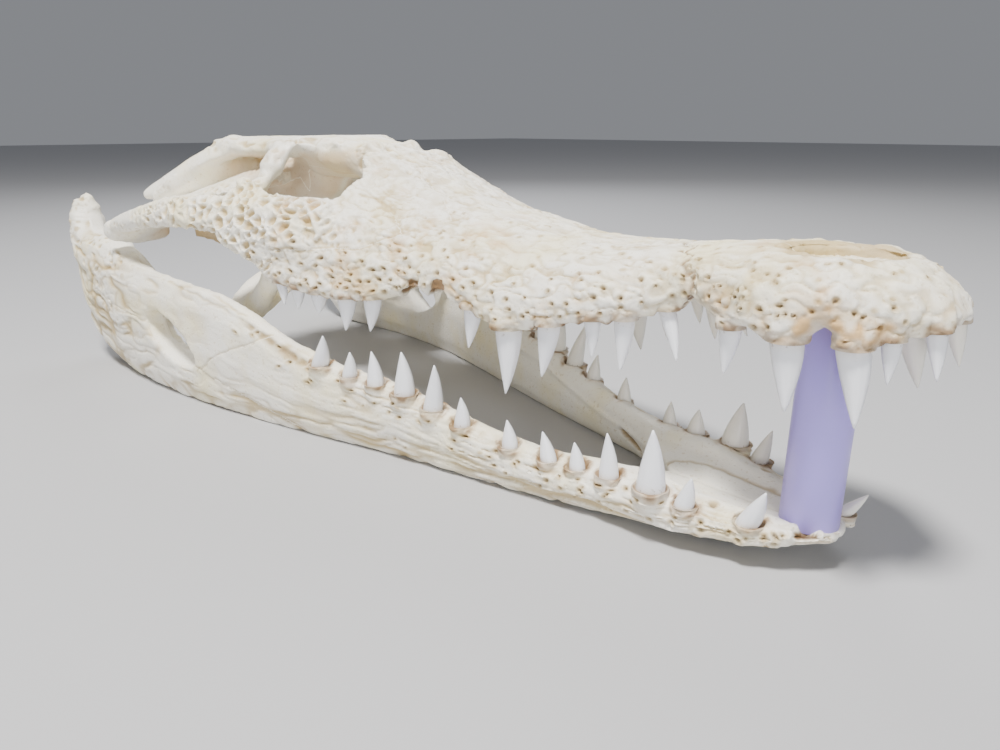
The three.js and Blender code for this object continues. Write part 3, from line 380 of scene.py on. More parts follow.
def soften(points, edges, zones, passes):
    """Rounds off the corners inside each zone: (centre, radius)."""
    for centre, radius in zones:
        away = np.linalg.norm(points - np.array(centre), axis=1)
        close = np.nonzero(away < radius)[0]
        place = np.full(len(points), -1)
        place[close] = np.arange(len(close))
        inner = place[edges]
        inner = inner[(inner >= 0).all(axis=1)]
        count = neighbour_count(close, inner)
        share = 0.6 * fade(away[close], 0.5 * radius, 0.95 * radius)[:, None]
        local = points[close]
        for _ in range(passes):
            local = local + share * towards_neighbours(local, inner, count)
        points[close] = local
    return points


def joined_body(nodes, name, zones=()):
    """One smooth fine skin over a group of the frame's bones."""
    skin = bmesh.new()
    for node in nodes:
        bone = bmesh.new()
        bone.from_mesh(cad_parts[node].data)
        bmesh.ops.remove_doubles(bone, verts=bone.verts, dist=1e-6)
        bone.normal_update()
        for vert in bone.verts:
            vert.co += vert.normal * JOINING_SWELL
        copy = mesh_from(bone, node + "_copy")
        skin.from_mesh(copy)
        bpy.data.meshes.remove(copy)
    body = new_object(name, mesh_from(skin, name))
    remesh = body.modifiers.new("even_skin", "REMESH")
    remesh.mode = "VOXEL"
    remesh.voxel_size = BODY_VOXEL
    mesh = with_modifiers(body)
    edges = np.empty(len(mesh.edges) * 2, dtype=np.int32)
    mesh.edges.foreach_get("vertices", edges)
    edges = edges.reshape(-1, 2)
    points = relax(mesh_rows(mesh, "co"), edges, SMOOTHING_PASSES)
    set_mesh_points(mesh, soften(points, edges, zones, SOFTENING_PASSES))
    fine = body.modifiers.new("fine_skin", "SUBSURF")
    fine.levels = fine.render_levels = FINE_LEVELS
    with_modifiers(body)
    return body


# ---- Carving -------------------------------------------------------------------------------

class Carving:
    """The fine skin of one jaw while it is carved: its points in the jaw's own frame, in
    skull lengths, and the stains and painted shade that collect in it."""

    def __init__(self, body, matrix):
        self.body = body
        self.matrix = matrix
        self.base = in_frame(mesh_rows(body.data, "co"), matrix.inverted())
        self.normal = mesh_rows(body.data, "normal")
        self.point = self.base.copy()
        self.mm = self.base * MM_PER_LENGTH
        self.x, self.y, self.z = self.base.T
        self.out = np.abs(self.y)            # away from the skull's middle
        self.outward = self.normal[:, 1] * np.sign(self.y)
        self.order = np.argsort(self.base[:, 0])
        self.sorted_x = self.base[self.order, 0]
        count = len(self.base)
        self.raised = np.zeros(count)        # mm along the normal
        self.dirt_and_shade = np.zeros(count)
        self.stain_and_shade = np.zeros(count)
        self.pit_shade = np.zeros(count)
        self.rust = np.zeros(count)
        self.tree = BVHTree.FromObject(body, bpy.context.evaluated_depsgraph_get())

    def near(self, centre, reach):
        """The points within reach of a centre, and their offsets from it."""
        low, high = np.searchsorted(self.sorted_x, (centre[0] - reach, centre[0] + reach))
        close = self.order[low:high]
        offset = self.base[close] - np.array(centre)
        inside = np.einsum("ij,ij->i", offset, offset) < reach * reach
        return close[inside], offset[inside]

    def surface_from(self, start, towards):
        """Where a ray from outside meets the skin, if it does."""
        origin = self.matrix @ Vector(start)
        heading = (self.matrix.to_3x3() @ Vector(towards)).normalized()
        place = self.tree.ray_cast(origin, heading)[0]
        return None if place is None else self.matrix.inverted() @ place

    def flank_at(self, x, side, z):
        """The skin's place as seen from one side."""
        return self.surface_from((x, side * FAR_OUT, z), (0, -side, 0))

    def darken(self, name, which, amount):
        """Deepens one of the stain and painted-shade layers at some points."""
        values = getattr(self, name)
        values[which] = np.maximum(values[which], amount)

    def spread(self, name, amount):
        """Deepens one of the stain and painted-shade layers over the whole skin."""
        self.darken(name, slice(None), amount)

    def finish(self):
        """Moves the skin's points, and keeps the stains and painted shade with it."""
        # Painted shade: every place sunk by the carving darkens with its depth.
        self.spread("dirt_and_shade", 0.8 * ease(-self.raised, 0.1, 0.9))
        world = in_frame(self.point, self.matrix)
        world += self.normal * (self.raised * 0.001)[:, None]
        world = np.clip(world, np.array(solid_box[0]), np.array(solid_box[1]))
        set_mesh_points(self.body.data, world)
        for name in ("dirt_and_shade", "rust", "stain_and_shade", "pit_shade"):
            layer = self.body.data.attributes.new(name, "FLOAT", "POINT")
            layer.data.foreach_set("value", getattr(self, name).astype(np.float32))
        smooth_shaded(self.body.data)


def carve_sockets(carving, teeth, rise, lift, dirt):
    """Sinks the solid teeth into ringed sockets, whose bone bulges out over the roots.

    The teeth point up (rise 1) or down (rise -1), lift sets a socket's rim in tooth radii from
    the gum point, and dirt is how much grime its edge holds."""
    nearest = np.full(len(carving.base), np.inf)     # in radii of the nearest tooth
    for number, (side, gum, length, radius, lean) in enumerate(teeth):
        if length == 0:
            continue
        rim = lift * radius
        reach = max(length * 1.25, 4 * radius) + 2 * MM
        close, offset = carving.near(gum, reach)
        height = offset[:, 2] * rise
        across = offset[:, :2].copy()
        across[:, 0] -= lean * np.maximum(height, 0)
        across[:, 1] -= side * TOOTH_OUTWARD_LEAN * np.maximum(height, 0) ** 2 / max(length, MM)
        out = np.maximum(np.hypot(across[:, 0], across[:, 1]), 1e-6)
        own = out / radius < nearest[close]
        close, height, out, across = close[own], height[own], out[own], across[own]
        nearest[close] = out / radius
        ragged = grain(carving.mm[close], 2.2, 5 + number)
        wall = radius + SOCKET_WALL * (1 + 0.3 * ragged)
        radial = across / out[:, None]

        # The solid crown folds down into the socket's ring and floor.
        crown = fade(out, 1.08 * radius, 1.25 * radius + 0.6 * MM) * (height > rim)
        fold = ease(height - rim, 0.3 * MM, 1.9 * MM)
        new_out = wall * (1 - fold) + (np.minimum(out, radius) + SOCKET_GAP) * fold
        new_height = rim - SOCKET_DEPTH * ease(fold, 0.5, 0.95)
        moved = np.zeros((len(close), 3))
        moved[:, :2] = radial * ((new_out - out) * crown)[:, None]
        moved[:, 2] = (new_height - height) * crown * rise
        moved[:, 0] += lean * np.where(height > 0, (new_height - height) * crown, 0)

        # The bone beside the root bulges out to the wall.
        flat = carving.normal[close, :2]
        steep = np.maximum(np.hypot(flat[:, 0], flat[:, 1]), 1e-6)
        flat = flat / steep[:, None]
        towards = np.einsum("ij,ij->i", across, flat)
        push = -towards + np.sqrt(np.maximum(towards ** 2 + wall ** 2 - out ** 2, 0))
        push = push * (out < wall) * ease(steep, 0.3, 0.75) * (height <= rim)
        push = push * ease(height, -ROOT_BULGE, -2 * MM)
        moved[:, :2] += flat * push[:, None]
        shoulder = ease(height, -5 * MM, -0.5 * MM) * fade(out - radius, 1.5 * MM, 4 * MM)
        moved[:, 2] += rim * shoulder * (height <= rim) * rise
        carving.point[close] = carving.base[close] + moved

        kept = 1 - crown
        for layer in (carving.raised, carving.dirt_and_shade, carving.pit_shade, carving.rust):
            layer[close] *= kept
        placed_out = np.hypot(across[:, 0] + moved[:, 0], across[:, 1] + moved[:, 1])
        gap = (placed_out - radius) * MM_PER_LENGTH + 0.3 * ragged
        placed = height + moved[:, 2] * rise - rim
        topmost = ease(placed, -3 * MM, -0.6 * MM)
        lip = hump(gap - 1.9, 0.9) * topmost * kept
        carving.raised[close] += 0.5 * (0.6 + ragged) * lip
        # A dark brown ring in the gap round each tooth: painted shade of the gap, with some dirt.
        gap_stain_and_shade = fade(gap, 0.9, 1.6) * topmost
        carving.darken("stain_and_shade", close, gap_stain_and_shade * np.clip(0.85 + 0.5 * ragged, 0, 1))
        edge = ease(placed, -3.4 * MM, -1.0 * MM) * fade(gap, 1.8, 3.0)
        carving.darken("stain_and_shade", close, edge * np.clip(dirt + 1.5 * ragged, 0, 0.9))
        halo = fade(gap, 1.6, 3.6) * ease(placed, -5 * MM, -1 * MM)
        carving.darken("rust", close, 0.5 * halo * np.clip(0.6 + ragged, 0, 1))


def open_chin(carving):
    """The broken, dirt-filled socket of the lost first tooth, open across the chin, with painted
    shade in its depths.
    """
    close, offset = carving.near(CHIN_SOCKET, 3 * CHIN_SOCKET_RADIUS)
    spread = np.hypot(offset[:, 0], offset[:, 1]) / CHIN_SOCKET_RADIUS
    ragged = grain(carving.mm[close], 2.0, 91)
    facing = ease(carving.normal[close, 2], -0.05, 0.35)
    pit = fade(spread + 0.35 * ragged, 0.6, 1.05) * facing
    carving.raised[close] -= 2.4 * pit
    carving.raised[close] += 0.9 * facing * hump(spread + 0.3 * ragged - 1.2, 0.16)
    carving.darken("stain_and_shade", close, ease(pit, 0.05, 0.5))
    # Painted shade, near black, in the deepest part of the pit.
    carving.darken("pit_shade", close, 0.6 * ease(pit, 0.2, 0.9))


def open_sockets(carving, places):
    """The torn, dirt-filled sockets of lost upper teeth, with painted shade in their depths:
    (place, half length, depth mm).
    """
    for place, half_length, depth in places:
        for side in (1, -1):
            gum = (place, side * (float(snout_half_width(place)) - 0.012),
                   float(tooth_margin(place)) + 0.002)
            close, offset = carving.near(gum, 1.8 * half_length)
            spread = np.hypot(offset[:, 0] / half_length, offset[:, 1] / (0.8 * half_length))
            ragged = grain(carving.mm[close], 2.6, 6)
            facing = ease(-carving.normal[close, 2], -0.35, 0.3)
            pit = fade(spread + 0.25 * ragged, 0.55, 1.05) * facing
            carving.raised[close] -= depth * pit
            lip = hump(spread + 0.2 * ragged - 1.15, 0.16) * facing
            carving.raised[close] += 0.6 * lip
            carving.darken("stain_and_shade", close, (1 - 0.2 * ragged) * ease(pit, 0, 0.4))
            # Painted shade, near black, in the deepest part of each socket.
            carving.darken("pit_shade", close, 0.4 * ease(pit, 0.5, 1))


def bore_pores(carving, pores):
    """Sinks small blood-vessel holes into the skin: (centre, radius mm, stretch, depth mm)."""
    for number, (centre, radius, stretch, depth) in enumerate(pores):
        close, offset = carving.near(centre, (radius * stretch + 2.2) * MM)
        offset = offset * MM_PER_LENGTH
        tilt = 0.35 * math.sin(number * 2.4)
        along_jaw = offset[:, 0] + tilt * offset[:, 2]
        upright = offset[:, 2] - tilt * offset[:, 0]
        away = np.sqrt((along_jaw / stretch) ** 2 + offset[:, 1] ** 2 + upright ** 2)
        carving.raised[close] -= depth * fade(away, 0.4 * radius, 1.25 * radius)
        carving.raised[close] += 0.3 * hump(away - 1.9 * radius, 0.55)
        # Painted shade: near black inside each hole, and a darker ring round it.
        carving.darken("pit_shade", close, 0.78 * fade(away, 0.35 * radius, radius))
        carving.darken("dirt_and_shade", close, 0.8 * fade(away, 0.9 * radius, 1.0 + 1.3 * radius))


def suture_line(carving, plane, outline, mask, seed, wander=1.2, depth=0.5, tint=0.6,
                name="dirt_and_shade"):
    """A fine zigzag seam along an outline seen from above (top) or from the side."""
    x, y, z = carving.mm.T
    other = np.abs(y) if plane == "top" else z
    corners = np.array(outline) * MM_PER_LENGTH
    low, high = corners.min(axis=0) - 5, corners.max(axis=0) + 5
    close = np.nonzero((mask > 0.02) & (x > low[0]) & (x < high[0]) & (other > low[1])
                       & (other < high[1]))[0]
    if not len(close):
        return
    zigzag = np.stack([grain(carving.mm[close], 3.1, number) for number in (seed, seed + 1)],
                      axis=1)
    here = np.stack([x[close], other[close]], axis=1) + wander * zigzag
    nearest = np.full(len(close), np.inf)
    for start, end in zip(corners[:-1], corners[1:]):
        step = end - start
        share = np.clip((here - start) @ step / max(step @ step, 1e-9), 0, 1)
        nearest = np.minimum(nearest, np.linalg.norm(here - start - share[:, None] * step, axis=1))
    line = mask[close] * hump(nearest, 0.5)
    carving.raised[close] -= depth * line
    carving.darken(name, close, tint * mask[close] * hump(nearest, 0.6))


def pore_row(carving, draw, start, end, spacing, height, side, radius, stretch, wander):
    """A wandering row of pores along a jaw, found from the outside."""
    pores = []
    x = start
    while x > end:
        x -= spacing * draw.uniform(0.6, 1.4)
        z = float(height(x)) + draw.uniform(-wander, wander)
        centre = carving.flank_at(x, side, z)
        if centre is not None and centre.y * side > 0.01:
            size = draw.uniform(*radius)
            pores.append((centre, size, draw.uniform(*stretch), 0.5 + 1.1 * size))
    return pores


def cranium_pores(carving):
    """Rows of pores over the teeth, slits further back, and a sprinkling on the snout's tip."""
    draw = np.random.default_rng(7)
    pores = []
    for side in (1, -1):
        for lift, spacing, radius in UPPER_PORE_ROWS:
            height = shifted(tooth_margin, lift)
            pores += pore_row(carving, draw, -0.015, -0.49, spacing, height, side, radius,
                              (1, 1.6), 0.0045)
            pores += pore_row(carving, draw, -0.47, -0.69, spacing * 0.95, height, side,
                              (0.4, 0.7), (1.6, 2.8), 0.005)
        for _ in range(FLANK_PORES):
            at = draw.uniform(-0.2, -0.01)
            height = float(tooth_margin(at)) + draw.uniform(0.014, 0.06)
            centre = carving.flank_at(at, side, height)
            if centre is not None and centre.y * side > 0:
                size = draw.uniform(0.3, 0.6)
                pores.append((centre, size, 1.2, 0.5 + size))
        for _ in range(ROOF_PORES):
            at, across = draw.uniform(-0.5, -0.03), side * draw.uniform(0.01, 0.1)
            centre = carving.surface_from((at, across, FAR_OUT), (0, 0, -1))
            if centre is not None and centre.z > 0.04:
                size = draw.uniform(0.25, 0.5)
                pores.append((centre, size, draw.uniform(1, 2), 0.4 + size))
    return pores


def cheek_cells(carving, warped, patchy, exposed):
    """The honeycomb of the cheek, with deep cells that close up towards its edges."""
    x, z, out, outward = carving.x, carving.z, carving.out, carving.outward
    hanging = (x < -0.69) & (z < 0.034)
    cheek = (window(x, -0.925, -0.58, 0.03) * ease(out, 0.115, 0.15) * ease(outward, 0.05, 0.35)
             * fade(z, 0.13, 0.145) * (1 - hanging))
    cheek = cheek * (1 - 0.85 * ease(x, -0.69, -0.67) * fade(z, 0.05, 0.062))
    border = cells(warped, (4.9, 4.9, 4.1), 21)
    pit, ridge = ease(border, 0.12, 0.5), fade(border, 0.0, 0.2)
    small_pit = ease(cells(warped, (3.3, 3.0, 2.6), 41), 0.15, 0.5)
    coarse = ease(patchy, -0.6, -0.1) * window(x, -0.88, -0.6, 0.03)
    carving.raised += cheek * (coarse * (0.55 * ridge - 1.7 * pit)
                               + (1 - coarse) * (0.35 - 1.4 * small_pit))
    # Painted shade, with some dirt, darkens the cells' pits.
    carving.spread("dirt_and_shade", cheek * np.maximum(coarse * pit, (1 - coarse) * small_pit))

    rear_cheek = window(x, -1.03, -0.91, 0.02) * ease(out, 0.15, 0.18) * ease(outward, 0, 0.4)
    face = window(x, -0.68, -0.48, 0.04) * exposed * ease(out, 0.04, 0.09)
    rough = np.maximum(0.75 * rear_cheek, 0.45 * face * ease(patchy, -0.5, 0.4))
    carving.raised -= rough * 0.9 * small_pit
    # Painted shade, with some dirt, in the rough pits.
    carving.spread("dirt_and_shade", 0.7 * rough * small_pit)
    return cheek


def table_and_brow(carving, warped, patchy):
    """Shallow, irregular hollows between low swells on the skull table, and its lumpy edges."""
    x, z, out, mm, up = carving.x, carving.z, carving.out, carving.mm, carving.normal[:, 2]
    table = window(x, -0.97, -0.56, 0.02) * ease(up, 0.35, 0.75) * ease(z, 0.1, 0.13)
    table_pit = ease(cells(warped, (6.4, 5.2, 5.2), 61), 0.15, 0.6)
    carving.raised += table * (0.5 - 1.3 * table_pit) * (0.7 + 0.3 * patchy)
    # Painted shade, with some dirt, in the table's pits.
    carving.spread("dirt_and_shade", 0.5 * table * table_pit)
    brow = window(x, -0.8, -0.62, 0.012) * ease(z, 0.13, 0.145) * ease(out, 0.04, 0.055)
    brow = brow * ease(up, 0.1, 0.5)
    carving.raised += brow * (0.6 + 1.9 * grain(mm, (9, 6, 6), 62))

    # The bar behind the orbit, the knob before it and the wavy edge of the table.
    bar = (window(x, -0.815, -0.775, 0.01) * window(out, 0.085, 0.15, 0.01)
           * window(z, 0.09, 0.155, 0.01))
    carving.raised += 0.9 * bar
    knob = np.hypot(np.hypot(x + 0.67, out - 0.03), z - 0.16) * MM_PER_LENGTH
    carving.raised += 2.0 * hump(knob, 3.6)
    edging = window(x, -0.98, -0.8, 0.015) * ease(out, 0.055, 0.09) * ease(z, 0.15, 0.165)
    carving.raised += edging * 1.1 * grain(mm, (6, 4.5, 4.5), 87)


def snout_folds(carving, warped, exposed, cheek):
    """Swells and folds over the snout, with creases, wrinkles and dimples between them."""
    mm = carving.mm
    swell = grain(mm, (13, 7, 7), 71)
    fold = grain(warped, (6.5, 3.4, 3.4), 72)
    crease = hump(grain(warped, (7, 3, 3), 75), 0.16)
    fine = grain(warped, (2.8, 1.8, 1.8), 73)
    snout = exposed * window(carving.x, -0.7, 0.01, 0.03) * (1 - cheek)
    flank = snout * ease(carving.outward, 0.05, 0.6)
    carving.raised += snout * (0.4 * swell + 0.36 * fold + 0.16 * fine)
    carving.raised -= (0.35 * flank + 0.2 * snout) * crease
    wrinkle = hump(grain(warped, (5.5, 2.3, 2.3), 82), 0.17)
    wrinkle = wrinkle * ease(grain(mm, 9, 83), -0.5, 0.3) * snout
    dimple = ease(cells(warped, (3.4, 2.5, 2.5), 84), 0.3, 0.7)
    dimple = dimple * ease(grain(mm, 12, 85), -0.4, 0.4)
    carving.raised -= 0.4 * wrinkle + 0.4 * flank * dimple
    # Painted shade, with some dirt, in the wrinkles, dimples, creases and the low sides of the
    # folds.
    for shade in (0.5 * wrinkle, 0.35 * flank * dimple, snout * 0.5 * ease(-fold, 0.2, 0.8),
                  (0.4 * flank + 0.12 * snout) * crease):
        carving.spread("dirt_and_shade", shade)
    smooth_bone = 1 - np.maximum(snout, cheek)
    carving.raised += smooth_bone * (0.14 * grain(mm, 4.5, 74) + 0.16 * grain(mm, (14, 9, 9), 76))
    return fold


def cranium_seams(carving, exposed):
    """The sutures between the bones of the snout, brow, table and cheek."""
    upward = ease(carving.normal[:, 2], 0.1, 0.4)
    sideways = ease(carving.outward, 0.15, 0.45)
    for number, (name, _, plane, _, _, outline) in enumerate(CRANIUM_REGIONS):
        if name in ("nasal", "frontal", "lacrimal", "parietal", "squamosal"):
            half = [corner for corner in outline if corner[1] >= 0]
            suture_line(carving, plane, half, upward, 200 + 2 * number, tint=0.45, depth=0.4)
    suture_line(carving, "top", SNOUT_SEAM, exposed * (carving.z > 0.012), 230, wander=2.2,
                depth=0.8, tint=0.85, name="stain_and_shade")
    suture_line(carving, "side", CHEEK_SEAM, sideways, 234, tint=0.8)
    suture_line(carving, "side", HINGE_SEAM, sideways, 236, tint=0.5)


def snout_rust(carving, exposed, fold, around):
    """Rust over the front teeth, and amber patches in the folds, fainter round the nostril."""
    x, mm = carving.x, carving.mm
    rust = window(x, -0.11, -0.02, 0.02) * hump(carving.z - tooth_margin(x) - 0.014, 0.014)
    rust = rust * ease(grain(mm, 7, 79), -0.4, 0.2) * (0.8 + 0.6 * grain(mm, 2.2, 80))
    carving.spread("rust", np.clip(rust, 0, 0.9))
    amber = exposed * ease(grain(mm, 11, 81), -0.05, 0.5) * ease(-fold, -0.3, 0.3)
    amber = amber * window(x, -0.68, 0.01, 0.02) * (0.25 + 0.75 * ease(around, 0.9, 1.6))
    carving.spread("rust", 0.38 * amber)


def cranium_deposits(carving):
    """Rust inside the temple and orbit and under the cheek, and grime along the gums."""
    x, z, out, mm = carving.x, carving.z, carving.out, carving.mm
    inner_wall = (window(x, -0.97, -0.68, 0.02) * fade(out, 0.085, 0.12)
                  * ease(z, 0.08, 0.1) * fade(z, 0.15, 0.16) * ease(carving.outward, 0, 0.3))
    under = window(x, -1.05, -0.89, 0.015) * fade(out, 0.17, 0.2) * fade(z, 0.045, 0.06)
    deposits = np.maximum(0.5 * inner_wall, 0.75 * under) * (0.8 + 0.3 * grain(mm, 5, 86))
    carving.spread("rust", np.clip(deposits, 0, 1))
    grime = window(x, -0.215, -0.02, 0.02) * hump(z - tooth_margin(x), GRIME_BAND)
    grime = grime * ease(grain(mm, 4.5, 78), -0.1, 0.7) * ease(out, 0.02, 0.05)
    carving.spread("stain_and_shade", 0.5 * grime)


def carve_cranium(carving):
    """The cranium's honeycomb, folds, sutures, pores, sockets, dirt and painted shade."""
    x, z, out, mm, up = carving.x, carving.z, carving.out, carving.mm, carving.normal[:, 2]
    warped = mm + 1.5 * np.stack([grain(mm, 5.5, seed) for seed in (11, 12, 13)], axis=1)
    patchy = grain(mm, 17, 31)
    palate = ease(-up, 0.15, 0.6) * (x > -0.7)
    inner = np.maximum(palate, ease(-carving.outward, 0.2, 0.5) * (x < -0.56))
    exposed = 1 - inner
    cheek = cheek_cells(carving, warped, patchy, exposed)
    table_and_brow(carving, warped, patchy)
    fold = snout_folds(carving, warped, exposed, cheek)

    # Painted warm shade deep in the temple hollow and on the flange under the cheek.
    temple = (window(x, -0.93, -0.8, 0.02) * fade(out, 0.08, 0.13) * ease(z, 0.06, 0.09)
              * fade(z, 0.135, 0.15) * exposed)
    flange = (window(x, -1.0, -0.86, 0.02) * ease(z, 0.0, 0.02) * fade(z, 0.055, 0.075)
              * fade(out, 0.14, 0.17))
    painted_warm_shade = np.maximum(0.35 * temple, 0.42 * flange)
    carving.spread("stain_and_shade", painted_warm_shade * (0.75 + 0.25 * grain(mm, 6, 77)))

    # The rim of the nostril slopes down into it.
    around = np.hypot((x + 0.087) / 0.047, carving.y / 0.038)
    bowl = fade(around, 0.85, 1.4) * ease(up, 0, 0.4)
    carving.raised -= 1.9 * bowl * (z > 0.06) * window(x, -0.15, -0.055, 0.012)

    cranium_seams(carving, exposed)
    bore_pores(carving, cranium_pores(carving))
    carve_sockets(carving, tooth_rows(UPPER_TEETH, True), -1, -0.12, 0.5)
    open_sockets(carving, LOST_UPPER_TEETH)
    snout_rust(carving, exposed, fold, around)
    cranium_deposits(carving)


def lower_jaw_pores(carving, side, seed):
    """Rows of pores under the jaw's top, a sprinkling on its flank, and one pit at the chin."""
    draw = np.random.default_rng(seed)
    pores = []
    for drop, spacing, radius in LOWER_PORE_ROWS:
        height = shifted(jaw_top, -drop)
        pores += pore_row(carving, draw, -0.015, -0.27, spacing, height, side, radius,
                          (1, 1.5), 0.003)
        pores += pore_row(carving, draw, -0.26, -0.62, spacing * 1.5, height, side,
                          (0.35, 0.6), (1.8, 3.4), 0.004)
    for _ in range(JAW_PORES):
        at, share = draw.uniform(-0.5, -0.02), draw.uniform(0.2, 0.8)
        height = float(jaw_bottom(at)) * (1 - share) + float(jaw_top(at)) * share
        centre = carving.flank_at(at, side, height)
        if centre is not None and centre.y * side > 0.01:
            size = draw.uniform(0.25, 0.5)
            pores.append((centre, size, draw.uniform(1.2, 2.4), 0.4 + size))
    pores.append((Vector((-0.09, side * 0.047, 0.043)), 1.1, 1.2, 1.6))
    return pores


def jaw_fibres(carving, level, outside, seed):
    """The long fibres of a lower jaw, its pitted hinge end and its knobbly front and gums."""
    x, mm = carving.x, carving.mm
    # The fibres follow the jaw's edges, and wave a little.
    depth = 0.6 * (jaw_top(-0.7) - jaw_bottom(-0.7)) * MM_PER_LENGTH
    wavy = np.stack([mm[:, 0], mm[:, 1] * 0.3, level * depth], axis=1)
    wavy[:, 2] += 1.8 * grain(mm, (19, 8, 8), seed) + 0.7 * grain(mm, (7, 4, 4), seed + 1)
    front = ease(x, -0.5, -0.3)
    rear, low = fade(x, -0.98, -0.78), fade(level, 0.15, 0.6)
    calm = window(x, -0.86, -0.52, 0.08) * window(level, 0.3, 0.9, 0.15)
    fibre = grain(wavy, (15, 5, 1.7), seed + 5)
    groove, thread = hump(grain(wavy, (24, 6, 2.9), seed + 4), 0.17), hump(fibre, 0.2)
    strength = outside * (0.65 + 0.35 * np.maximum(rear, low)) * (1 - 0.6 * calm)
    broken = ease(grain(mm, 13, seed + 8), -0.6, 0.2)
    carving.raised += strength * (0.45 * grain(wavy, (30, 8, 5), seed + 6) + 0.2 * fibre
                                  - (0.85 + 0.3 * front) * groove * broken
                                  - (0.4 + 0.2 * front) * thread)
    # Painted shade, with some dirt, in the grooves and threads.
    carving.spread("dirt_and_shade", strength * broken * np.maximum(groove, 0.6 * thread))
    warped = mm + 1.5 * np.stack([grain(mm, 6, seed + step) for step in (11, 12, 13)], axis=1)
    pit = ease(cells(warped, (6.5, 4, 4), seed + 15), 0.2, 0.6)
    hinge = outside * fade(x, -0.97, -0.9) * ease(level, 0.35, 0.6)
    carving.raised += hinge * (0.35 - 1.2 * pit) * ease(grain(mm, 15, seed + 17), -0.4, 0.3)
    # Painted shade, with some dirt, in the hinge pits.
    carving.spread("dirt_and_shade", 0.7 * hinge * pit)
    carving.raised += outside * front * (0.3 * grain(warped, (6, 3.4, 3.4), seed + 18)
                                         + 0.14 * grain(warped, (2.8, 1.8, 1.8), seed + 19))
    carving.raised += 0.14 * grain(mm, (16, 7, 7), seed + 7)
    gums = outside * ease(level, 0.72, 0.95) * window(x, -0.58, 0.01, 0.02)
    carving.raised += gums * 0.4 * grain(warped, (7, 4, 4), seed + 20)


def jaw_furrows(carving, below_top, outside, inside, seed):
    """The dirty furrow behind the last tooth, and on the tongue side a low ridge and a slit."""
    x, z = carving.x, carving.z
    trench = window(x, -0.66, -0.56, 0.02) * hump(below_top - 3.5, 1.6)
    trench = trench * outside * (0.6 + 0.4 * grain(carving.mm, 3, seed + 21))
    carving.raised -= 1.3 * trench
    carving.spread("stain_and_shade", 0.7 * trench)
    carving.raised += inside * window(x, -0.52, -0.16, 0.04) * 0.7 * hump(below_top - 7, 1.3)
    from_slit = (z - 0.0275 + 0.34 * (x + 0.27)) * MM_PER_LENGTH
    slit = window(x, -0.272, -0.235, 0.005) * hump(from_slit, 1.1) * inside
    carving.raised -= 2.4 * slit
    # Painted shade in the slit.
    carving.spread("stain_and_shade", 0.85 * slit)


def carve_lower_jaw(carving, side, seed):
    """A lower jaw's fibres, furrows, sutures, pores and sockets."""
    x, z = carving.x, carving.z
    outward = carving.normal[:, 1] * side
    outside, inside = ease(outward, -0.1, 0.3), ease(-outward, 0.1, 0.5)
    bottom, top = jaw_bottom(x), jaw_top(x)
    level = (z - bottom) / np.maximum(top - bottom, 0.02)
    jaw_fibres(carving, level, outside, seed)
    jaw_furrows(carving, (top - z) * MM_PER_LENGTH, outside, inside, seed)
    sideways = ease(outward, 0.15, 0.45)
    for number, outline in enumerate(LOWER_JAW_SEAMS):
        suture_line(carving, "side", outline, sideways, seed + 30 + 2 * number, tint=0.55,
                    wander=0.9, depth=0.4)
    bore_pores(carving, lower_jaw_pores(carving, side, seed))
    own_teeth = [row for row in tooth_rows(LOWER_TEETH, False) if row[0] == side]
    carve_sockets(carving, own_teeth, 1, 0.0, 0.1)
    open_chin(carving)
    trough_edge = ease(carving.normal[:, 2], 0.1, 0.5) * (carving.y > 0.004)
    suture_line(carving, "top", CHIN_SEAM, trough_edge, seed + 60, tint=0.8, depth=0.6)


# ---- Parting the skin into bones -----------------------------------------------------------

def depth_at(value, x):
    """A region's depth at a place, which is a number or a curve."""
    return float(value(x)) if callable(value) else value


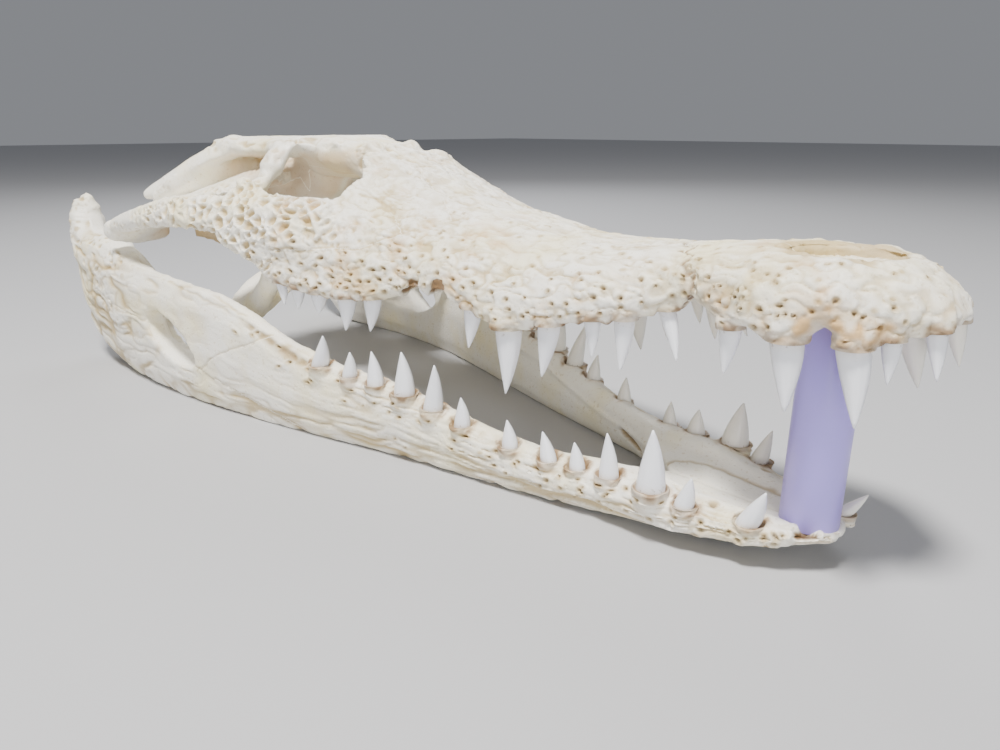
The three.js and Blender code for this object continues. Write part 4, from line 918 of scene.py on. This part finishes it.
# The regions that the sutures mark out, in the order they come off the whole. An outline is
# seen from above (top) or from the right (side), and runs from one depth to another.
CRANIUM_REGIONS = [
    ("jugal", True, "side", lambda x: 0.09 - 0.24 * (x + 0.52), 0.32,
     [(-0.52, 0.064), (-0.56, 0.051), (-0.665, 0.046), (-0.71, 0), (-0.936, 0.01),
      (-0.936, 0.125), (-0.66, 0.125), (-0.565, 0.098)]),
    ("quadrate", True, "side", 0.085, 0.34,
     [(-0.937, -0.02), (-0.937, 0.124), (-0.98, 0.118), (-1.04, 0.094), (-1.075, 0.083),
      (-1.15, 0.08), (-1.15, -0.02)]),
    ("ectopterygoid", True, "top", -0.2, 0.046,
     [(-0.696, 0.1), (-0.74, 0.132), (-0.8, 0.136), (-0.9, 0.128), (-0.9, 0.25),
      (-0.696, 0.25)]),
    ("pterygoid", False, "top", -0.2, along([(-0.76, 0.05), (-0.87, 0.028), (-0.93, 0.006)]),
     [(-0.757, -0.14), (-0.757, 0.14), (-0.87, 0.14), (-0.97, 0.14), (-0.97, -0.14),
      (-0.87, -0.14)]),
    ("palatine", False, "top", -0.1, 0.056,
     [(-0.51, 0), (-0.53, 0.028), (-0.6, 0.044), (-0.757, 0.06), (-0.757, -0.06),
      (-0.6, -0.044), (-0.53, -0.028)]),
    ("squamosal", True, "top",
     along([(-0.76, 0.075), (-0.83, 0.085), (-0.85, 0.125), (-0.94, 0.125), (-1.08, 0.084)]), 0.3,
     [(-0.76, 0.25), (-0.765, 0.095), (-0.815, 0.034), (-0.85, 0.034), (-0.95, 0.034),
      (-1.1, 0.12), (-1.1, 0.25), (-0.94, 0.25), (-0.85, 0.25), (-0.83, 0.25)]),
    ("parietal", False, "top", 0.143, 0.3,
     [(-0.812, -0.034), (-0.812, 0.034), (-1.0, 0.06), (-1.0, -0.06)]),
    ("frontal", False, "top", shifted(snout_top, -0.036), 0.3,
     [(-0.555, 0), (-0.59, 0.018), (-0.64, 0.034), (-0.7, 0.052), (-0.815, 0.09),
      (-0.815, -0.09), (-0.7, -0.052), (-0.64, -0.034), (-0.59, -0.018)]),
    ("lacrimal", True, "top", 0.062, 0.3,
     [(-0.485, 0.066), (-0.53, 0.04), (-0.575, 0.034), (-0.6, 0.012), (-0.76, 0.03),
      (-0.76, 0.16), (-0.56, 0.16), (-0.53, 0.095)]),
    ("nasal", True, "top", shifted(snout_top, -0.017), 0.3,
     [(-0.225, 0.002), (-0.245, 0.014), (-0.33, 0.023), (-0.43, 0.028), (-0.5, 0.036),
      (-0.55, 0.036), (-0.6, 0.02), (-0.6, 0), (-0.55, 0), (-0.5, 0), (-0.43, 0), (-0.33, 0),
      (-0.245, 0), (-0.225, 0)]),
    ("premaxilla", True, "top", -0.3, 0.3,
     [(0.1, 0), *SNOUT_SEAM, (0.1, 0.14)]),
    ("maxilla", True, "top", -0.3, 0.3,
     [(0.1, 0), (-0.735, 0), (-0.735, 0.3), (0.1, 0.3)]),
]
LOWER_JAW_REGIONS = [
    ("articular", "top", 0.1, 0.4,
     [(-0.965, 0.1), (-0.965, 0.224), (-1.08, 0.224), (-1.13, 0.3), (-1.3, 0.3),
      (-1.3, 0.1)]),
    ("angular", "side", 0.05, 0.34,
     [(-0.55, -0.1), (-0.575, 0.002), (-0.63, 0.022), (-0.7, 0.04), (-0.77, 0.056),
      (-0.82, 0.08), (-0.87, 0.1), (-0.95, 0.104), (-1.05, 0.122), (-1.16, 0.16), (-1.3, 0.2),
      (-1.3, -0.1)]),
    ("surangular", "side", 0.05, 0.34,
     [(-0.6, 0.4), (-0.605, 0.122), (-0.65, 0.102), (-0.71, 0.078), (-0.755, 0.05),
      (-0.79, -0.1), (-1.3, -0.1), (-1.3, 0.4)]),
    ("splenial", "top", 0.014, shifted(jaw_top, -0.02),
     [(-0.17, 0.006), (-0.25, 0.066), (-0.36, 0.094), (-0.48, 0.123), (-0.6, 0.157),
      (-0.6, 0.11), (-0.48, 0.08), (-0.36, 0.05), (-0.25, 0.02), (-0.17, -0.02)]),
]


def region_block(plane, start, end, outline, side, matrix):
    """The block of space that holds one bone."""
    block = bmesh.new()
    corners = []
    for x, other in outline:
        depth = depth_at(start, x)
        corners.append(block.verts.new((x, other, depth) if plane == "top" else (x, depth, other)))
    lid = block.faces.new(corners)
    grown = bmesh.ops.extrude_face_region(block, geom=[lid])["geom"]
    for vert in (part for part in grown if isinstance(part, bmesh.types.BMVert)):
        if plane == "top":
            vert.co.z = depth_at(end, vert.co.x)
        else:
            vert.co.y = depth_at(end, vert.co.x)
    bmesh.ops.scale(block, vec=(1, side, 1), verts=block.verts)
    bmesh.ops.triangulate(block, faces=block.faces, ngon_method="EAR_CLIP")
    bmesh.ops.transform(block, matrix=matrix, verts=block.verts)
    bmesh.ops.recalc_face_normals(block, faces=block.faces)
    return new_object("region_block", mesh_from(block, "region_block"))


def cut(piece, block, operation):
    """Keeps what lies inside the block (INTERSECT) or outside it (DIFFERENCE)."""
    step = piece.modifiers.new("parting", "BOOLEAN")
    step.operation = operation
    step.solver = "MANIFOLD"
    step.object = block
    with_modifiers(piece)


def parted(body, regions, matrix, remainder):
    """Cuts the carved skin into its bones, each with the nodes it stands for."""
    bones = []
    for name, paired, plane, start, end, outline in regions:
        for side in ((1, -1) if paired else (1,)):
            block = region_block(plane, start, end, outline, side, matrix)
            suffix = ("_left" if side > 0 else "_right") if paired else ""
            bone = new_object(name + suffix + "_skin", body.data.copy())
            cut(bone, block, "INTERSECT")
            cut(body, block, "DIFFERENCE")
            bpy.data.objects.remove(block)
            bones.append((bone, [name + suffix]))
    body.name = remainder + "_skin"
    bones.append((body, [remainder]))
    return bones


# ---- Teeth ---------------------------------------------------------------------------------

CROWN_PROFILE = along([(-1, 1.04), (0, 1.02), (0.15, 0.97), (0.35, 0.84), (0.55, 0.65),
                       (0.72, 0.46), (0.86, 0.27), (0.95, 0.14), (1, 0.05)])


def tooth_set(name, teeth, matrix, rise):
    """All the standing teeth of one jaw: curved, faintly fluted cones that point up (rise 1) or
    down (rise -1)."""
    enamel = bmesh.new()
    height_layer = enamel.verts.layers.float.new("crown")
    side_shade_layer = enamel.verts.layers.float.new("side_shade")
    for side, gum, length, radius, lean in teeth:
        if length == 0:
            continue
        start = -TOOTH_SEAT / length
        ring = bmesh.ops.create_circle(enamel, cap_ends=True, segments=TOOTH_SIDES,
                                       radius=1)["verts"]
        for flute, vert in enumerate(ring):
            vert.co *= 1 + TOOTH_FLUTING * math.cos(flute * math.tau / 3)
            vert.co.y *= TOOTH_FLATNESS
        shape = [vert.co.copy() for vert in ring]
        steps = [start, start / 2] + [step / CROWN_STEPS for step in range(CROWN_STEPS + 1)]
        for number, t in enumerate(steps):
            scale = float(CROWN_PROFILE(t)) * radius
            bend = max(t, 0) ** 2
            centre = Vector((gum.x + lean * length * t,
                             gum.y + side * TOOTH_OUTWARD_LEAN * length * bend,
                             gum.z + rise * length * t))
            if number:
                edges = [edge for edge in {e for v in ring for e in v.link_edges}
                         if edge.verts[0] in ring and edge.verts[1] in ring]
                grown = bmesh.ops.extrude_edge_only(enamel, edges=edges)["geom"]
                fresh = [part for part in grown if isinstance(part, bmesh.types.BMVert)]
                above = {edge.other_vert(vert): vert for vert in fresh
                         for edge in vert.link_edges}
                ring = [above[old] for old in ring]
            for vert, corner in zip(ring, shape):
                vert.co = centre + corner * scale
                vert[height_layer] = t
                vert[side_shade_layer] = CROWN_SIDE_SHADE[side]
        bmesh.ops.contextual_create(enamel, geom=ring)
    bmesh.ops.recalc_face_normals(enamel, faces=enamel.faces)
    mesh = mesh_from(enamel, name)
    mesh.transform(matrix)
    smooth_shaded(mesh)
    return new_object(name, mesh)


def tube_wall():
    """The prop tube: a turned wall, round and smooth, with softened rims."""
    outer = (tube_high.x - tube_low.x) / 2
    inner = outer - TUBE_WALL * SKULL_LENGTH
    low, high, rim = tube_low.z, tube_high.z, TUBE_RIM
    wall = bmesh.new()
    verts = [wall.verts.new((tube_centre.x + radius, tube_centre.y, height))
             for radius, height in (
                 (inner, low + rim), (inner + rim, low), (outer - rim, low), (outer, low + rim),
                 (outer, high - rim), (outer - rim, high), (inner + rim, high),
                 (inner, high - rim))]
    profile = [wall.edges.new((vert, after)) for vert, after in zip(verts, verts[1:] + verts[:1])]
    bmesh.ops.spin(wall, geom=verts + profile, cent=tube_centre, axis=(0, 0, 1),
                   angle=math.tau, steps=TUBE_SIDES, use_merge=True)
    bmesh.ops.recalc_face_normals(wall, faces=wall.faces)
    mesh = mesh_from(wall, "prop_tube_wall")
    smooth_shaded(mesh)
    mesh.set_sharp_from_angle(angle=CREASE_ANGLE)
    return new_object("prop_tube_wall", mesh)


# ---- Finishes ------------------------------------------------------------------------------

IVORY = (0.92, 0.885, 0.79, 1)
WARM_IVORY = (0.88, 0.79, 0.50, 1)
# Dirt, and also painted shade in the hollows, pits and folds of the bone.
DIRT_AND_SHADE = (0.47, 0.335, 0.125, 1)
RUST = (0.62, 0.37, 0.13, 1)
# Stains, and also painted shade in the socket gaps, the temple, under the cheek and in a slit.
SOCKET_BROWN = (0.19, 0.105, 0.04, 1)
# Painted shade, near black, in pores and in the depths of pits.
PAINTED_PIT_SHADE = (0.075, 0.045, 0.025, 1)
ENAMEL = (0.91, 0.92, 0.96, 1)
ENAMEL_ROOT = (0.78, 0.71, 0.58, 1)
# Painted warm shade on the crowns of one side.
WARM_SHADE_ENAMEL = (0.90, 0.86, 0.76, 1)
LILAC = (0.50, 0.41, 1.0, 1)
PALE_FLOOR = (0.44, 0.44, 0.45, 1)


def bone_grain_group():
    """Fine bone grain: a height for bumps, a slow change of tone and a mask of flecks."""
    group = bpy.data.node_groups.new("bone_grain", "ShaderNodeTree")
    for name in ("Height", "Tone", "Flecks"):
        group.interface.new_socket(name=name, in_out="OUTPUT", socket_type="NodeSocketFloat")
    nodes, links = group.nodes, group.links
    place = nodes.new("ShaderNodeTexCoord")
    out = nodes.new("NodeGroupOutput")

    def noise(scale, detail):
        node = nodes.new("ShaderNodeTexNoise")
        node.inputs["Scale"].default_value = scale
        node.inputs["Detail"].default_value = detail
        links.new(place.outputs["Object"], node.inputs["Vector"])
        return node.outputs["Fac"]

    speckle = nodes.new("ShaderNodeTexVoronoi")
    speckle.inputs["Scale"].default_value = 420      # cells per metre
    links.new(place.outputs["Object"], speckle.inputs["Vector"])
    pinholes = ranged(group, speckle.outputs["Distance"], 0.05, 0.25)
    total = nodes.new("ShaderNodeMath")
    total.operation = "ADD"
    links.new(noise(1100, 5), total.inputs[0])
    links.new(pinholes, total.inputs[1])
    links.new(total.outputs["Value"], out.inputs["Height"])
    links.new(noise(38, 5), out.inputs["Tone"])
    links.new(ranged(group, noise(760, 3), 0.6, 0.7), out.inputs["Flecks"])
    return group


def mixed(tree, factor, base, other):
    """Blends another colour over a base by a factor, and gives the colour's socket."""
    mix = tree.nodes.new("ShaderNodeMix")
    mix.data_type = "RGBA"
    tree.links.new(factor, mix.inputs["Factor"])
    for socket, colour in ((mix.inputs["A"], base), (mix.inputs["B"], other)):
        if isinstance(colour, tuple):
            socket.default_value = colour
        else:
            tree.links.new(colour, socket)
    return mix.outputs["Result"]


def ranged(tree, value, low, high, to_low=0.0, to_high=1.0):
    """Carries a value from one range to another, in a group or a material's node tree."""
    node = tree.nodes.new("ShaderNodeMapRange")
    for name, number in (("From Min", low), ("From Max", high), ("To Min", to_low),
                         ("To Max", to_high)):
        node.inputs[name].default_value = number
    tree.links.new(value, node.inputs["Value"])
    return node.outputs["Result"]


def bumped(tree, height, strength, distance):
    bump = tree.nodes.new("ShaderNodeBump")
    bump.inputs["Strength"].default_value = strength
    bump.inputs["Distance"].default_value = distance
    tree.links.new(height, bump.inputs["Height"])
    tree.links.new(bump.outputs["Normal"], tree.nodes["Principled BSDF"].inputs["Normal"])


def attribute(tree, name):
    node = tree.nodes.new("ShaderNodeAttribute")
    node.attribute_name = name
    return node.outputs["Fac"]


def placed_group(tree, group):
    node = tree.nodes.new("ShaderNodeGroup")
    node.node_tree = group
    return node


def new_material(name, colour=None, roughness=0.5):
    """A material, its node tree and its shader."""
    material = bpy.data.materials.new(name)
    material.use_nodes = True
    shader = material.node_tree.nodes["Principled BSDF"]
    if colour:
        shader.inputs["Base Color"].default_value = colour
    shader.inputs["Roughness"].default_value = roughness
    return material, material.node_tree, shader


def bone_material(group):
    material, tree, shader = new_material("bleached_bone")
    detail = placed_group(tree, group)
    tone = ranged(tree, detail.outputs["Tone"], 0.46, 0.68, 0, 0.8)
    colour = mixed(tree, tone, IVORY, WARM_IVORY)
    # Dirt and painted shade in the hollows, pits and folds.
    dirt_and_shade = ranged(tree, attribute(tree, "dirt_and_shade"), 0, 0.9, 0, 0.85)
    colour = mixed(tree, dirt_and_shade, colour, DIRT_AND_SHADE)
    flecks = ranged(tree, detail.outputs["Flecks"], 0, 1, 0, 0.35)
    colour = mixed(tree, flecks, colour, DIRT_AND_SHADE)
    colour = mixed(tree, attribute(tree, "rust"), colour, RUST)
    # Stains, and painted shade in socket gaps, the temple, under the cheek and in a slit.
    stain_and_shade = ranged(tree, attribute(tree, "stain_and_shade"), 0, 1, 0, 0.95)
    colour = mixed(tree, stain_and_shade, colour, SOCKET_BROWN)
    # Painted shade, near black, in pores and pit depths.
    colour = mixed(tree, attribute(tree, "pit_shade"), colour, PAINTED_PIT_SHADE)
    tree.links.new(colour, shader.inputs["Base Color"])
    tree.links.new(ranged(tree, detail.outputs["Tone"], 0.3, 0.7, 0.42, 0.6),
                   shader.inputs["Roughness"])
    bumped(tree, detail.outputs["Height"], 0.5, 0.0003)
    return material


def enamel_material(group):
    material, tree, shader = new_material("tooth_enamel", roughness=0.27)
    detail = placed_group(tree, group)
    rooted = ranged(tree, attribute(tree, "crown"), -0.2, 0.12, 0.6, 0)
    # Painted warm shade on the crowns of one side, set per side.
    colour = mixed(tree, attribute(tree, "side_shade"), ENAMEL, WARM_SHADE_ENAMEL)
    colour = mixed(tree, rooted, colour, ENAMEL_ROOT)
    collar = ranged(tree, attribute(tree, "crown"), -0.12, 0.12, 1.0, 0)
    flecks = ranged(tree, detail.outputs["Flecks"], 0.25, 0.5)
    speckled = tree.nodes.new("ShaderNodeMath")
    speckled.operation = "MULTIPLY"
    tree.links.new(collar, speckled.inputs[0])
    tree.links.new(flecks, speckled.inputs[1])
    colour = mixed(tree, speckled.outputs["Value"], colour, SOCKET_BROWN)
    tree.links.new(colour, shader.inputs["Base Color"])
    bumped(tree, detail.outputs["Height"], 0.06, 0.0002)
    return material


def tube_material():
    material, _, shader = new_material("lilac_plastic", LILAC, 0.3)
    shader.inputs["Transmission Weight"].default_value = 0.12
    return material


# ---- The skull -----------------------------------------------------------------------------

PAIRED_CRANIUM = ["jugal", "quadrate", "ectopterygoid", "squamosal", "lacrimal", "nasal",
                  "premaxilla", "maxilla"]
SINGLE_CRANIUM = ["pterygoid", "palatine", "parietal", "frontal", "braincase"]
JAW_BONES = ["articular", "angular", "surangular", "splenial", "dentary"]
SIDES = {"left": 1, "right": -1}

grain_group = bone_grain_group()
bone = bone_material(grain_group)
enamel = enamel_material(grain_group)

cranium_nodes = [f"{name}_{side}" for name in PAIRED_CRANIUM for side in SIDES]
cranium_nodes += SINGLE_CRANIUM
zones = [(CRANIUM_FRAME @ Vector((x, side * y, z)), radius * SKULL_LENGTH)
         for (x, y, z), radius in SOFT_ZONES for side in (1, -1)]
cranium = joined_body(cranium_nodes, "cranium", zones)
carving = Carving(cranium, CRANIUM_FRAME)
carve_cranium(carving)
carving.finish()
bones = parted(cranium, CRANIUM_REGIONS, CRANIUM_FRAME, "braincase")
for name, side in SIDES.items():
    nodes = [f"{part}_{name}" for part in JAW_BONES]
    jaw = joined_body(nodes, "lower_jaw_" + name)
    carving = Carving(jaw, JAW_FRAME)
    carve_lower_jaw(carving, side, 100 + side)
    carving.finish()
    regions = [(part + "_" + name, False, plane, start, end, outline)
               for part, plane, start, end, outline in LOWER_JAW_REGIONS]
    mirrored = JAW_FRAME @ Matrix.Diagonal((1, side, 1, 1))
    bones += parted(jaw, regions, mirrored, "dentary_" + name)
for piece, nodes in bones:
    piece.data.materials.clear()
    piece.data.materials.append(bone)
    piece.data.set_sharp_from_angle(angle=CREASE_ANGLE)
    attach(piece, "root")
    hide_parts(*nodes)

upper_teeth = tooth_set("upper_teeth", tooth_rows(UPPER_TEETH, True), CRANIUM_FRAME, -1)
lower_teeth = tooth_set("lower_teeth", tooth_rows(LOWER_TEETH, False), JAW_FRAME, 1)
for teeth in (upper_teeth, lower_teeth):
    teeth.data.materials.append(enamel)
    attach(teeth, "root")
tube = tube_wall()
tube.data.materials.append(tube_material())
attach(tube, "root")
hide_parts("prop_tube")


# ---- Stage, lights and camera --------------------------------------------------------------

def floor_sheet():
    sheet = bmesh.new()
    bmesh.ops.create_grid(sheet, x_segments=1, y_segments=1, size=6)
    floor = new_object("floor", mesh_from(sheet, "floor"))
    floor.data.materials.append(new_material("pale_floor", PALE_FLOOR, 0.7)[0])


def soft_light(name, place, aim, size, power, colour=(1, 1, 1)):
    light = bpy.data.lights.new(name, "AREA")
    light.shape = "DISK"
    light.size = size
    light.energy = power
    light.color = colour
    lamp = bpy.data.objects.new(name, light)
    lamp.location = place
    lamp.rotation_euler = (Vector(aim) - Vector(place)).to_track_quat("-Z", "Y").to_euler()
    bpy.context.scene.collection.objects.link(lamp)


def camera():
    lens = bpy.data.cameras.new("camera")
    lens.lens = CAMERA_LENS
    lens.sensor_width = CAMERA_SENSOR
    lens.clip_start = 0.01
    eye = bpy.data.objects.new("camera", lens)
    heading = Vector((math.cos(CAMERA_DIP) * math.cos(CAMERA_TURN),
                      math.cos(CAMERA_DIP) * math.sin(CAMERA_TURN), -math.sin(CAMERA_DIP)))
    eye.location = JAW_FRAME @ CAMERA_PLACE
    eye.rotation_euler = heading.to_track_quat("-Z", "Y").to_euler()
    bpy.context.scene.collection.objects.link(eye)
    bpy.context.scene.camera = eye


floor_sheet()
soft_light("key_light", (0.2, -0.42, 1.3), SKULL_MIDDLE, 0.28, 41, (1, 0.98, 0.95))
soft_light("fill_light", (0.9, -0.9, 0.3), SKULL_MIDDLE, 0.8, 8, (0.95, 0.97, 1))
soft_light("back_light", (-0.8, 0.7, 0.8), SKULL_MIDDLE, 0.7, 7, (0.95, 0.97, 1))
world = bpy.data.worlds.new("room")
world.use_nodes = True
world.node_tree.nodes["Background"].inputs["Color"].default_value = (0.9, 0.93, 1, 1)
world.node_tree.nodes["Background"].inputs["Strength"].default_value = 0.27
bpy.context.scene.world = world
camera()
